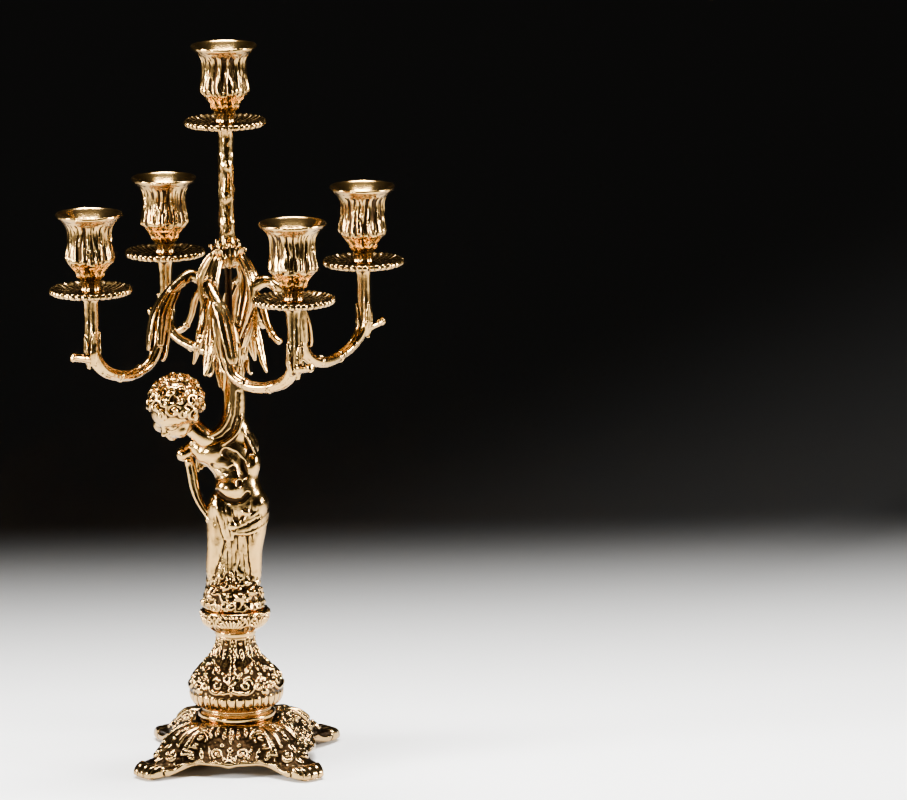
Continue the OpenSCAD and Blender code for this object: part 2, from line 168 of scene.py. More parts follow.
def lumps(points, size, seed):
    """Soft random bumps from -1 to 1 in space, at points in mm."""
    g = np.random.default_rng(seed).uniform(-1, 1, (32, 32, 32))
    q = points / size + 100
    i = np.floor(q).astype(int)
    f = q - i
    f = f * f * (3 - 2 * f)
    out = 0
    for dx in (0, 1):
        for dy in (0, 1):
            for dz in (0, 1):
                share = (
                    (f[..., 0] if dx else 1 - f[..., 0])
                    * (f[..., 1] if dy else 1 - f[..., 1])
                    * (f[..., 2] if dz else 1 - f[..., 2])
                )
                out = out + share * g[(i[..., 0] + dx) % 32, (i[..., 1] + dy) % 32, (i[..., 2] + dz) % 32]
    return out


# ---------------------------------------------------------------- relief, drawn on a flat field in mm


def ridge(u, v, line, width, height, taper=1.0):
    """Height of a rounded ridge along a line; its width ends at taper times its start."""
    line = np.array(line, float)
    best = np.full(u.shape, 1e9)
    along = np.zeros(u.shape)
    gaps = len(line) - 1
    near = (
        (u > line[:, 0].min() - width)
        & (u < line[:, 0].max() + width)
        & (v > line[:, 1].min() - width)
        & (v < line[:, 1].max() + width)
    )
    un, vn = u[near], v[near]
    b, a = best[near], along[near]
    for k in range(gaps):
        du, dv = line[k + 1] - line[k]
        t = np.clip(((un - line[k, 0]) * du + (vn - line[k, 1]) * dv) / max(du * du + dv * dv, 1e-9), 0, 1)
        d = np.hypot(un - line[k, 0] - t * du, vn - line[k, 1] - t * dv)
        closer = d < b
        b = np.where(closer, d, b)
        a = np.where(closer, (k + t) / gaps, a)
    w = width * mix(1.0, taper, a)
    out = np.zeros(u.shape)
    out[near] = height * np.sqrt(np.clip(1 - (b / w) ** 2, 0, 1))
    return out


def bead(u, v, at, radius, height):
    d = np.hypot(u - at[0], v - at[1]) / radius
    return height * np.sqrt(np.clip(1 - d * d, 0, 1))


def leaf(u, v, root, tip, width, height, lobes=4):
    """A domed leaf with a lobed edge and cut veins, from root to tip."""
    du, dv = tip[0] - root[0], tip[1] - root[1]
    length = math.hypot(du, dv)
    s = ((u - root[0]) * du + (v - root[1]) * dv) / length**2
    t = ((v - root[1]) * du - (u - root[0]) * dv) / length
    inside = np.clip(s, 0.001, 0.999)
    edge = np.abs(np.cos(math.pi * lobes * (inside - 0.05)))
    half = width * np.sin(math.pi * inside**0.75) ** 0.8 * (0.72 + 0.28 * edge)
    dome = np.clip(1 - (t / np.maximum(half, 1e-3)) ** 2, 0, 1)
    vein = 0.5 + 0.5 * np.cos(TURN * lobes * (inside + 0.05 - 0.45 * np.abs(t) / width))
    body = np.sqrt(dome) * (0.55 + 0.45 * vein) - 0.35 * np.exp(-((t / (0.13 * width)) ** 2)) * (dome > 0)
    return np.where((s > 0) & (s < 1), height * np.clip(body, 0, 1), 0)


def highest(*carvings):
    """The tallest of several carvings at each point."""
    return np.maximum.reduce([np.zeros_like(carvings[0]), *carvings])


def scroll(centre, start_r, end_r, start, sweep, steps=40):
    """Points of a spiral about a centre; angles in degrees."""
    t = np.linspace(0, 1, steps)
    a = np.radians(start + sweep * t)
    r = mix(start_r, end_r, t)
    return np.stack([centre[0] + r * np.cos(a), centre[1] + r * np.sin(a)], 1)


def folded(angle, count, offset=0.0):
    """Angle from the middle of the nearest of count equal panels, in radians."""
    part = TURN / count
    return (angle - offset + part / 2) % part - part / 2


# ---------------------------------------------------------------- meshes


def loops(rows, columns, closed):
    """Quads between neighbouring rings of points."""
    i = np.arange(rows if closed else rows - 1)[:, None]
    j = np.arange(columns)[None, :]
    after, beside = (i + 1) % rows, (j + 1) % columns
    corners = [i * columns + j, i * columns + beside, after * columns + beside, after * columns + j]
    return np.stack([np.broadcast_to(c, (i.shape[0], columns)) for c in corners], -1).reshape(-1, 4)


def skin(name, rings, closed=False):
    """Object whose skin runs over a stack of rings; open ends are closed at a pole."""
    rows, columns = rings.shape[:2]
    points = rings.reshape(-1, 3)
    faces = loops(rows, columns, closed).tolist()
    if not closed:
        points = np.vstack([points, rings[0].mean(0), rings[-1].mean(0)])
        first, last = rows * columns, rows * columns + 1
        base = (rows - 1) * columns
        for j in range(columns):
            k = (j + 1) % columns
            faces.append([first, k, j])
            faces.append([last, base + j, base + k])
    return solid(name, points, faces)


def solid(name, points, faces):
    """Object from points in mm, with its faces as given."""
    mesh = bpy.data.meshes.new(name)
    mesh.from_pydata((np.asarray(points) * MM).tolist(), [], faces)
    mesh.validate()
    obj = bpy.data.objects.new(name, mesh)
    bpy.context.scene.collection.objects.link(obj)
    mesh.shade_smooth()
    return obj


def pick(*objs):
    bpy.ops.object.select_all(action="DESELECT")
    for obj in objs:
        obj.select_set(True)
    bpy.context.view_layer.objects.active = objs[0]


def pick_none():
    bpy.ops.object.select_all(action="DESELECT")


def face_outward(obj):
    pick(obj)
    bpy.ops.object.mode_set(mode="EDIT")
    bpy.ops.mesh.select_all(action="SELECT")
    bpy.ops.mesh.normals_make_consistent(inside=False)
    bpy.ops.object.mode_set(mode="OBJECT")


def places(obj):
    co = np.zeros(len(obj.data.vertices) * 3)
    obj.data.vertices.foreach_get("co", co)
    return co.reshape(-1, 3) / MM


def facing(obj):
    n = np.zeros(len(obj.data.vertices) * 3)
    obj.data.vertices.foreach_get("normal", n)
    return n.reshape(-1, 3)


def put(obj, points):
    obj.data.vertices.foreach_set("co", (points * MM).ravel())
    obj.data.update()


def averaged(obj, points, times):
    """Points after each has moved halfway to the middle of its neighbours, so many times."""
    edges = np.zeros(len(obj.data.edges) * 2, int)
    obj.data.edges.foreach_get("vertices", edges)
    a, b = edges[0::2], edges[1::2]
    count = len(points)
    shared = np.maximum(np.bincount(a, minlength=count) + np.bincount(b, minlength=count), 1)
    out = points.copy()
    for _ in range(times):
        for k in range(3):
            total = np.bincount(a, out[b, k], count) + np.bincount(b, out[a, k], count)
            out[:, k] = 0.5 * out[:, k] + 0.5 * total / shared
    return out


def mark_hollow_shade(obj, times=10, depth=0.22, ground=0.0):
    """Stores how deep each point lies in a hollow, for the brown patina and painted shade in the recesses;
    0.5 is flat.

    ground adds to it, as more patina and painted shade, where the field between raised motifs is to stay
    dark.
    """
    points = places(obj)
    out = facing(obj)
    near = averaged(obj, points, times)
    wide = averaged(obj, near, times * 4)
    close = ((near - points) * out).sum(1) / (2 * depth)
    broad = ((wide - points) * out).sum(1) / (5 * depth)
    value = np.clip(0.5 + np.clip(close, -0.5, 0.5) + 0.6 * np.clip(broad, -0.4, 0.5) + ground, 0, 1)
    mark = obj.data.attributes.get("hollow") or obj.data.attributes.new("hollow", "FLOAT", "POINT")
    mark.data.foreach_set("value", value.astype(np.float32))


def fuse(name, parts, cell, relax=2):
    """One casting from overlapping parts: joined, then rebuilt as a single closed skin."""
    pick(*parts)
    bpy.ops.object.join()
    obj = bpy.context.view_layer.objects.active
    obj.name = name
    obj.data.name = name
    rebuild = obj.modifiers.new("rebuild", "REMESH")
    rebuild.mode = "VOXEL"
    rebuild.voxel_size = cell * MM
    bpy.ops.object.modifier_apply(modifier="rebuild")
    obj.data.shade_smooth()
    put(obj, averaged(obj, places(obj), relax))
    return obj


def roughen(obj, size, depth, seed, where=None):
    """Moves the skin in and out by soft random bumps."""
    points = places(obj)
    amount = depth * lumps(points, size, seed)
    if where is not None:
        amount = amount * where(points)
    put(obj, points + facing(obj) * amount[:, None])


# ---------------------------------------------------------------- turned and swept shapes


def turned(outline, around):
    """Rings of a turned piece, one for each point [radius, height] of its outline."""
    outline = np.array(outline, float)
    angle = np.linspace(0, TURN, around, endpoint=False)
    r = outline[:, 0][:, None]
    z = np.broadcast_to(outline[:, 1][:, None], (len(outline), around))
    return np.stack([r * np.cos(angle), r * np.sin(angle), z], -1)


def pushed(rings, amount, closed=False):
    """Rings moved along the outward direction of their skin."""
    around = np.roll(rings, -1, 1) - np.roll(rings, 1, 1)
    if closed:
        along = np.roll(rings, -1, 0) - np.roll(rings, 1, 0)
    else:
        along = np.gradient(rings, axis=0)
    out = np.cross(around, along)
    out /= np.maximum(np.linalg.norm(out, axis=-1, keepdims=True), 1e-9)
    return rings + out * amount[..., None]


def swept(path, across, sides, shape=None):
    """Rings along a path of [x, y, z, half width, half depth]; width lies along across.

    shape(a, t) changes the radius round the ring (angle a) and along the path (t from 0 to 1).
    """
    path = np.array(path, float)
    ways = np.gradient(path[:, :3], axis=0)
    ways /= np.linalg.norm(ways, axis=1, keepdims=True)
    side = np.cross(ways, np.array(across, float))
    side /= np.linalg.norm(side, axis=1, keepdims=True)
    wide = np.cross(side, ways)
    a = np.linspace(0, TURN, sides, endpoint=False)[None, :]
    t = np.linspace(0, 1, len(path))[:, None]
    factor = np.broadcast_to(1.0 if shape is None else shape(a, t), (len(path), sides))
    x = path[:, 3:4] * np.cos(a) * factor
    y = path[:, 4:5] * np.sin(a) * factor
    return path[:, None, :3] + wide[:, None, :] * x[..., None] + side[:, None, :] * y[..., None]


def rounded_ends(path, share=0.6):
    """Closes a path with small rounded ends, so that no end is cut flat."""
    path = np.array(path, float)
    out = []
    for end, inner in ((0, 1), (-1, -2)):
        way = path[end, :3] - path[inner, :3]
        way /= np.linalg.norm(way)
        tip = min(path[end, 3], path[end, 4]) * share
        cap = []
        for t in (0.35, 0.65, 0.88, 1.0):
            shrink = math.sqrt(max(1 - t * t, 0.002))
            cap.append(np.concatenate([path[end, :3] + way * tip * t, path[end, 3:5] * shrink]))
        out.append(cap)
    return np.vstack([out[0][::-1], path, out[1]])


def rod(name, path, across=(0, 0, 1), sides=16, gap=0.8, shape=None, share=0.6):
    """A round-ended bar along a smooth path."""
    line = rounded_ends(even_path(path, gap), share)
    return skin(name, swept(line, across, sides, shape))


def even_path(points, gap):
    """Smooth path through [x, y, z, half width, half depth] points, with points at an even distance.

    A point of four numbers is as deep as it is wide.
    """
    p = curve([q if len(q) == 5 else (*q, q[3]) for q in points], 8)
    return even(p, gap, 3, p[:, :3])


def ball(name, centre, radii, tilt=(0, 0, 0), rings=24, sides=32):
    """An egg-shaped lump of the given radii."""
    a = np.linspace(0, math.pi, rings + 2)[1:-1]
    outline = np.stack([np.sin(a), -np.cos(a)], 1)
    made = turned(outline, sides)
    turn = np.array((Matrix.Rotation(tilt[2], 3, "Z") @ Matrix.Rotation(tilt[1], 3,
        "Y") @ Matrix.Rotation(tilt[0], 3, "X")))
    return skin(name, (made * np.array(radii)) @ turn.T + np.array(centre))


def blade(name, path, across, lobes=3, edge=0.14, sides=28, gap=0.5, cleft=0.55):
    """A leaf along a path: a flat section with a soft-lobed edge and a cleft down its middle."""

    def leaf_section(a, t):
        side = np.abs(np.cos(a))
        notch = 1 - edge * np.sin(math.pi * lobes * t) ** 8 * side
        middle = 1 - cleft * np.exp(-((side / 0.24) ** 2))
        reed = 1 - 0.3 * cleft * np.exp(-(((side - 0.62) / 0.12) ** 2))
        return notch * middle * reed

    line = rounded_ends(even_path(path, gap), 0.8)
    return skin(name, swept(line, across, sides, leaf_section))


def spun(name, outline, around):
    """Turned piece: an outline of [radius, height] points in mm spun about the column's axis."""
    outline = np.array(outline, float)
    points = np.stack([outline[:, 0], np.zeros(len(outline)), outline[:, 1]], 1)
    mesh = bpy.data.meshes.new(name)
    last = len(points) - 1
    open_ends = outline[0, 0] < 0.01 and outline[-1, 0] < 0.01
    edges = [(k, k + 1) for k in range(last)] + ([] if open_ends else [(last, 0)])
    mesh.from_pydata((points * MM).tolist(), edges, [])
    obj = bpy.data.objects.new(name, mesh)
    bpy.context.scene.collection.objects.link(obj)
    pick(obj)
    bpy.ops.object.mode_set(mode="EDIT")
    bpy.ops.mesh.select_all(action="SELECT")
    bpy.ops.mesh.spin(steps=around, angle=TURN, center=(0, 0, 0), axis=(0, 0, 1))
    bpy.ops.mesh.select_all(action="SELECT")
    bpy.ops.mesh.remove_doubles(threshold=0.002 * MM)
    bpy.ops.mesh.normals_make_consistent(inside=False)
    bpy.ops.object.mode_set(mode="OBJECT")
    mesh.shade_smooth()
    return obj


def dense(outline, gap):
    """The outline with points at most gap apart, and its corners kept."""
    outline = np.array(outline, float)
    out = [outline[:1]]
    for a, b in zip(outline[:-1], outline[1:]):
        count = max(1, int(math.ceil(np.linalg.norm(b - a) / gap)))
        out.append(a + (b - a) * (np.arange(1, count + 1) / count)[:, None])
    return np.vstack(out)


def around_column(points):
    """Angle, radius and height of points in mm."""
    return np.arctan2(points[:, 1], points[:, 0]), np.hypot(points[:, 0], points[:, 1]), points[:, 2]


def carve(obj, amount):
    """Moves each point outward from the skin by its amount in mm."""
    put(obj, places(obj) + facing(obj) * amount[:, None])


def seat_at(obj, z, height=None):
    """Lifts a piece drawn from height 0 to its place and gives its points; height keeps its ends flat."""
    p = places(obj)
    if height is not None:
        p[:, 2] = np.clip(p[:, 2], END_GAP, height - END_GAP)
    p[:, 2] += z
    put(obj, p)
    return p


def crisp(obj, degrees=40):
    pick(obj)
    bpy.ops.object.shade_smooth_by_angle(angle=math.radians(degrees))


# ---------------------------------------------------------------- finishes


def new_node(nodes, kind, sockets=None, **traits):
    """A shader node of a kind, with its own settings and then its sockets set."""
    made = nodes.new("ShaderNode" + kind)
    for trait, value in traits.items():
        setattr(made, trait, value)
    for socket, value in (sockets or {}).items():
        made.inputs[socket].default_value = value
    return made


def metal(name, bright, deep, polish, dull, hollow_start=0.53, hollow_end=0.72, bump=0.25):
    """Cast metal: bright on the high places; brown patina and painted shade, dull, in the hollows; with a
    faint cast skin.
    """
    mat = bpy.data.materials.new(name)
    mat.use_nodes = True
    nodes, links = mat.node_tree.nodes, mat.node_tree.links
    shader = nodes["Principled BSDF"]
    shader.inputs["Metallic"].default_value = 1.0
    spot = new_node(nodes, "TexCoord")
    hollow = new_node(nodes, "Attribute", attribute_name="hollow")
    cloud = new_node(nodes, "TexNoise", {"Scale": 90, "Detail": 4})
    fine = new_node(nodes, "TexNoise", {"Scale": 900, "Detail": 3})
    links.new(spot.outputs["Object"], cloud.inputs["Vector"])
    links.new(spot.outputs["Object"], fine.inputs["Vector"])

    # the edges of the brown in the hollows, patina and painted shade together, waver a little, so that it
    # looks wiped back by hand
    waver = 0.22
    blend = new_node(nodes, "Math", {1: waver}, operation="MULTIPLY_ADD")
    links.new(cloud.outputs["Fac"], blend.inputs[0])
    links.new(hollow.outputs["Fac"], blend.inputs[2])
    ends = {"From Min": hollow_start + waver / 2, "From Max": hollow_end + waver / 2}
    depth = new_node(nodes, "MapRange", ends, interpolation_type="SMOOTHSTEP")
    links.new(blend.outputs[0], depth.inputs["Value"])

    tone = new_node(nodes, "MapRange", {"From Min": 0.3, "From Max": 0.7, "To Min": 0.0, "To Max": 1.0})
    links.new(cloud.outputs["Fac"], tone.inputs["Value"])
    tarnished = (bright[0] * 0.93, bright[1] * 0.84, bright[2] * 0.72, 1)
    warm = new_node(nodes, "Mix", {"A": (*bright, 1), "B": tarnished}, data_type="RGBA")
    links.new(tone.outputs["Result"], warm.inputs["Factor"])
    # the deep colour is laid in the hollows: brown patina and painted shade
    colour = new_node(nodes, "Mix", {"B": (*deep, 1)}, data_type="RGBA")
    links.new(depth.outputs["Result"], colour.inputs["Factor"])
    links.new(warm.outputs["Result"], colour.inputs["A"])
    links.new(colour.outputs["Result"], shader.inputs["Base Color"])

    rough = new_node(nodes, "MapRange", {"To Min": polish, "To Max": dull})
    links.new(depth.outputs["Result"], rough.inputs["Value"])
    links.new(rough.outputs["Result"], shader.inputs["Roughness"])

    skin_bump = new_node(nodes, "Bump", {"Strength": bump, "Distance": 0.0003})
    links.new(fine.outputs["Fac"], skin_bump.inputs["Height"])
    links.new(skin_bump.outputs["Normal"], shader.inputs["Normal"])
    return mat


def floor_paint():
    mat = bpy.data.materials.new("pale_floor")
    mat.use_nodes = True
    nodes, links = mat.node_tree.nodes, mat.node_tree.links
    shader = nodes["Principled BSDF"]
    spot = new_node(nodes, "TexCoord")
    cloud = new_node(nodes, "TexNoise", {"Scale": 3})
    links.new(spot.outputs["Object"], cloud.inputs["Vector"])
    shades = {"A": (0.80, 0.79, 0.77, 1), "B": (0.77, 0.76, 0.745, 1)}
    shade = new_node(nodes, "Mix", shades, data_type="RGBA")
    links.new(cloud.outputs["Fac"], shade.inputs["Factor"])
    links.new(shade.outputs["Result"], shader.inputs["Base Color"])
    shader.inputs["Roughness"].default_value = 0.6
    return mat


# deep colours: brown patina and painted shade laid in the hollows of each metal
GILT = metal("gilt_brass", (0.53, 0.325, 0.105), (0.018, 0.009, 0.003), 0.15, 0.4, 0.515, 0.69)
# painted shade: the gilt brass again, made darker and with its hollow shade starting sooner, for the base
# and the cage rod
SHADED_GILT = metal("dark_gilt_brass", (0.42, 0.27, 0.10), (0.012, 0.006, 0.002), 0.16, 0.4, 0.49, 0.66)
STEEL = metal("steel_fasteners", (0.56, 0.55, 0.53), (0.08, 0.07, 0.06), 0.3, 0.6)


def hand_over(obj, node, finish):
    """The finished piece stands for its CAD node and takes its finish."""
    obj.data.materials.clear()
    obj.data.materials.append(finish)
    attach(obj, "root")
    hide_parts(node)


def gilt(obj, node):
    hand_over(obj, node, GILT)


# painted shade: gives a piece the darker copy of the gilt brass
def shaded_gilt(obj, node):
    hand_over(obj, node, SHADED_GILT)


def steel(obj, node):
    mark_hollow_shade(obj, 4)
    hand_over(obj, node, STEEL)


def copied(obj, name, matrix):
    """Another of the same piece, with its own mesh, moved or turned to its place."""
    mesh = obj.data.copy()
    mesh.name = name
    mesh.transform(matrix)
    twin = bpy.data.objects.new(name, mesh)
    bpy.context.scene.collection.objects.link(twin)
    return twin


def lifted(z):
    return Matrix.Translation((0, 0, z * MM))


def arm_place(k):
    return Matrix.Rotation(ARM_TURN + TURN / ARM_COUNT * k, 4, "Z")


def pan_place(k):
    """Where arm k carries its pan."""
    return arm_place(k) @ Matrix.Translation((REACH * MM, 0, ARM_PAN_Z * MM))


# ---------------------------------------------------------------- candle sockets and drip pans


def socket():
    """Flared candle socket with a bark body on a calyx of eight petals."""
    h = SOCKET_H
    outside = curve(
        [
            [6.2, 0.3], [5.8, 2], [5.9, 3.5], [6.6, 6.4], [8.9, 9.4], [9.9, 12.2], [12.6, 15.6],
            [15.3, 19.4], [15.2, 22.5], [14.0, 29], [13.7, h - 11.5], [14.9, h - 7.5], [18.0, h - 3.6],
        ],
        6,
    )
    lip = curve([[18.0, h - 3.6], [19.9, h - 2.0], [RIM_R, h - 0.9], [20.0, h], [18.9, h - 0.2],
        [16.6, h - 3], [14, h - 5.8], [11.7, h - 7.4], [CANDLE_R, h - 8.4]], 4)
    outline = np.vstack([
        [[0, 9], [STUD_HOLE_R, 9], [STUD_HOLE_R, 0], [5.9, 0]],
        even(outside, 0.42),
        lip[1:],
        dense([[CANDLE_R, h - 8.4], [CANDLE_R, 18]], 4)[1:],
        [[CANDLE_R - 0.4, 18], [0, 18]],
    ])
    obj = spun("socket", outline, 208)
    p = places(obj)
    a, r, z = around_column(p)
    outer = (r > 5) & ~((z > 17) & (r < 12)) & ((z < h - 6) | (r > np.interp(z, [h - 8, h], [13, 19.5])))
    up = np.clip(z / h, 0, 1)
    swayed = a + 0.05 * grain(a, up, 9, 5, 11)
    grooves = smooth_step(-0.42, 0.12, grain(swayed, up, 64, 4, 12))
    threads = grain(swayed, up, 96, 8, 13)
    bark = smooth_step(16.5, 19.5, z) * (1 - smooth_step(h - 8.5, h - 4.5, z))
    petal = np.abs(np.cos(4 * a + 0.4 * smooth_step(8, 16, z)))
    calyx = smooth_step(4.5, 9, z) * (1 - smooth_step(15.5, 18.5 - 2 * petal, z))
    foot = 1 - smooth_step(4, 7, z)
    belly = np.exp(-(((z - 18.8) / 1.7) ** 2)) * grain(a, up, 26, 20, 14)
    amount = (
        bark * (1.15 * (grooves - 0.9) + 0.3 * threads)
        + calyx * (0.9 * petal - 0.85 + 0.28 * grain(a, up, 40, 30, 15))
        + foot * 0.35 * (np.abs(np.cos(6 * a)) - 0.7)
        + 0.55 * belly
        + 0.12 * smooth_step(h - 8, h - 5, z) * grain(a, up, 60, 40, 16)
    )
    carve(obj, np.where(outer, amount, 0))
    # the brown patina and painted shade of the hollows are kept out of the funnel's inside, and a little is
    # added over the bark
    funnel = ~outer & (z > h - 12) & (r > CANDLE_R - 1)
    mark_hollow_shade(obj, 9, 0.2, np.where(funnel, -0.5, 0.06 * bark))
    return obj


def drip_pan():
    """Shallow dish with radial gadroons and a scalloped rim."""
    hub = 7.0
    outline = np.vstack([
        [[2.7, 0], [hub, 0]],
        curve([[hub, 0], [8.8, 0.9], [15.3, 1.1], [21, 1.4], [24.2, 1.9], [PAN_R, 3.1], [PAN_R, 4.6],
               [24.7, 5.6], [23.6, 5.3], [21, 4.0], [15.3, 2.9], [9.2, 2.9], [7.3, PAN_H]], 6)[1:],
        [[2.7, PAN_H]],
    ])
    lobes = 38
    obj = spun("drip_pan", dense(outline, 0.7), lobes * 8)
    a, r, _ = around_column(places(obj))
    wave = 0.5 + 0.5 * np.cos(lobes * a)
    fluted = smooth_step(10.5, 15, r)
    top = facing(obj)[:, 2] > 0.1
    shell = grain(a, r / PAN_R, 70, 9, 21)
    broken = 0.6 + 0.4 * grain(a, r / PAN_R, 30, 6, 22)
    amount = fluted * np.where(top, 0.6, 0.5) * broken * (np.sqrt(wave) - 0.9) + 0.3 * fluted * shell
    amount = amount - 0.4 * smooth_step(22.5, 24.5, r) * (1 - wave)
    carve(obj, np.minimum(amount, 0) * (r > 8) - 0.05 * (r > 8))
    mark_hollow_shade(obj, 8, 0.22)
    return obj


def make_sockets_and_pans():
    cup, dish = socket(), drip_pan()
    for name, at in [("top", lifted(TOP_PAN_Z))] + [(str(k + 1), pan_place(k)) for k in range(ARM_COUNT)]:
        gilt(copied(dish, f"drip_pan_{name}", at), f"pan_{name}")
        gilt(copied(cup, f"candle_socket_{name}", at @ lifted(PAN_H)), f"socket_{name}")
    bpy.data.objects.remove(cup)
    bpy.data.objects.remove(dish)


# ---------------------------------------------------------------- column: ring, bulb, neck ring, collar


def ring_piece(name, node, outline, around, z, hollow_shade_reach):
    """A plain turned ring with crisp steps."""
    obj = spun(name, outline, around)
    seat_at(obj, z)
    crisp(obj)
    # the last argument sets how far the brown patina and painted shade of the ring's hollows reach
    mark_hollow_shade(obj, hollow_shade_reach, 0.12)
    gilt(obj, node)


def make_foot_ring():
    r, h = RING_R, RING_H
    outline = np.vstack([[[TIE_HOLE_R, 0.02]], dense(curve([[r - 1.2, 0.02], [r - 0.2, 0.8], [r, 2.2],
        [r - 0.4, 3.6], [r - 1.7, 4.2], [r - 2.7, 4.7], [r - 2.9, 5.4], [r - 2.2, 6.1], [r - 2.0, 6.8],
        [r - 2.5, h - 0.02]], 5), 0.6), [[TIE_HOLE_R, h - 0.02]],])
    ring_piece("foot_ring_turned", "foot_ring", outline, 192, RING_Z, 5)


def make_neck_ring():
    r, h = NECK_R, NECK_H
    outline = [[TIE_HOLE_R, 0.02]] + curve(
        [[r - 0.2, 0.02], [r + 0.45, 0.5], [r + 0.6, h / 2], [r + 0.45, h - 0.5], [r - 0.2, h - 0.02]], 5
    ).tolist() + [[TIE_HOLE_R, h - 0.02]]
    ring_piece("neck_ring_turned", "neck_ring", outline, 160, NECK_Z, 4)


def bulb_relief(a, z, r):
    """Leaves at the neck, scroll panels on the belly, gadroons below; z from 0 to 1 over the bulb."""
    h = z * BULB_H
    # tall gadroons under the belly
    rib = np.abs(np.cos(16 * a))
    gadroons = smooth_step(0.4, 1.6, h) * (1 - smooth_step(8.6, 10.0 + 1.6 * rib,
        h)) * (1.1 * np.sqrt(rib) - 0.3)
    # s off the middle of a scroll panel, w off a boss between two, n and m off two sets of eight leaves
    s = np.abs(folded(a, 4, math.radians(-90)) * r)
    w = np.abs(folded(a, 4, math.radians(-45)) * r)
    n = folded(a, 8, math.radians(-90)) * r
    m = folded(a, 8, math.radians(-67.5)) * r
    big = np.vstack([[[1.4, 14.4]], [[4.5, 13.4]], scroll((10.0, 18.4), 5.6, 1.8, -120, 400)])
    carved = highest(
        leaf(s, h, (0, 20.0), (0, 32.0), 3.2, 1.5, 3),
        leaf(s, h, (0.3, 19), (6.6, 25.4), 2.3, 1.4, 2),
        leaf(s, h, (0, 18.6), (0, 11.6), 2.2, 1.3, 2),
        ridge(s, h, big, 1.35, 1.5, 0.75),
        bead(s, h, (10.0, 18.4), 1.9, 1.6),
        leaf(s, h, (14.0, 15.5), (20.8, 24.0), 2.6, 1.5, 3),
        leaf(s, h, (7.6, 25.0), (13.5, 30.0), 2.0, 1.3, 2),
        bead(s, h, (12.6, 25.2), 1.3, 1.3),
        # round bosses between the panels
        bead(w, h, (0, 13.6), 3.0, 2.0),
        ridge(w, h, scroll((4.4, 16.4), 2.6, 0.9, 200, -400), 1.0, 1.4, 0.8),
        leaf(w, h, (0, 17.4), (0, 28.6), 2.2, 1.4, 3),
        # hanging leaves and bars at the neck
        leaf(n, h, (0, 41.5), (0, 29.0), 2.7, 1.15, 4),
        leaf(m, h, (0, 38.5), (0, 31.5), 1.7, 0.9, 3),
        ridge(np.abs(n), h, [[1.7, 43.5], [1.9, 38], [3.4, 33.5]], 0.45, 0.75),
        bead(m, h, (0, 41.2), 1.25, 1.15),
        bead(n, h, (0, 42.6), 0.95, 0.9),
    )
    field = smooth_step(10, 12, h) * (1 - smooth_step(43, 44, h))
    ground = field * (1 - smooth_step(0.1, 0.8, carved))
    return gadroons + carved + 0.12 * ground * grain(a, z, 110, 26, 31) - 0.45, ground


def make_bulb():
    shape = curve(
        [[0.62, 0], [0.86, 0.06], [0.97, 0.14], [1, 0.23], [0.99, 0.32], [0.91, 0.40], [0.73, 0.49],
         [0.53, 0.575], [0.35, 0.66], [0.18, 0.745], [0.06, 0.83], [0, 0.91], [0.01, 1]], 10)
    outside = np.stack([mix(NECK_R, BULB_R, shape[:, 0]) - 0.15, 0.03 + shape[:, 1] * (BULB_H - 0.06)], 1)
    inside = outside[::-6] - [2.4, 0]
    outline = np.vstack([even(outside, 0.46), inside])
    obj = spun("bulb_chased", outline, 400)
    p = places(obj)
    a, r, z = around_column(p)
    wall = np.interp(z, outside[:, 1], outside[:, 0])
    outer = r > wall - 1
    amount, ground = bulb_relief(a, z / BULB_H, r)
    ends = smooth_step(0, 0.8, z) * (1 - smooth_step(BULB_H - 0.8, BULB_H, z))
    carve(obj, np.where(outer, amount * ends, 0))
    seat_at(obj, BULB_Z, BULB_H)
    # ground adds patina and painted shade to the field between the chased motifs
    mark_hollow_shade(obj, 9, 0.24, 0.15 * ground * outer)
    gilt(obj, "bulb")


def make_collar():
    low, h = NECK_R + 0.4, COLLAR_H
    outside = curve([[low, 0.03], [low + 2, 0.06 * h], [mix(low, COLLAR_R, 0.76), 0.32 * h],
        [mix(low, COLLAR_R, 0.93), 0.6 * h], [COLLAR_R, 0.88 * h], [COLLAR_R - 0.6, h - 0.03]], 10)
    outline = np.vstack([[[TIE_HOLE_R, 0.03]], even(outside, 0.4), dense([[COLLAR_R - 3, h - 0.03],
        [TIE_HOLE_R, h - 0.03]], 4)])
    obj = spun("collar_chased", outline, 320)
    p = places(obj)
    a, r, z = around_column(p)
    n = folded(a, 6, math.radians(-90)) * 17
    m = folded(a, 6, math.radians(-60)) * 17
    flutes = [[[0.3 * k, 0.6], [1.1 * k, 4.5], [1.9 * k, 8.6 - 0.16 * k * k]] for k in range(-4, 5)]
    amount = highest(
        leaf(m, z, (0, 0.8), (0, 12.5), 2.2, 1.5, 2),
        bead(n, z, (0, 11.4), 1.4, 1.3),
        *[ridge(n, z, flute, 0.95, 1.2, 1.0) for flute in flutes],
        *[ridge(m, z, scroll((3.6 * side, 9.2), 2.2, 0.7, 90, 400 * side), 0.8, 1.3) for side in (-1, 1)],
        *[bead(n, z, (2.6 * side, 11.2), 1.0, 1.1) for side in (-1, 1)],
    )
    ground = (1 - smooth_step(0.1, 0.7, amount)) * (z < h - 1)
    amount = amount - 0.5
    outer = (r > 12) & (facing(obj)[:, 2] < 0.9) & (z > 0.05)
    carve(obj, np.where(outer, amount * smooth_step(0, 0.8, z), 0))
    seat_at(obj, COLLAR_Z, h)
    # ground adds patina and painted shade to the field between the chased motifs
    mark_hollow_shade(obj, 8, 0.2, 0.15 * ground * outer)
    gilt(obj, "collar")


# ---------------------------------------------------------------- base

APRON_R, KNEE_R, TOE_R, FOOT_H = 49.0, 54.0, 78.5, 9.0
APRON_LIFT = 7.5


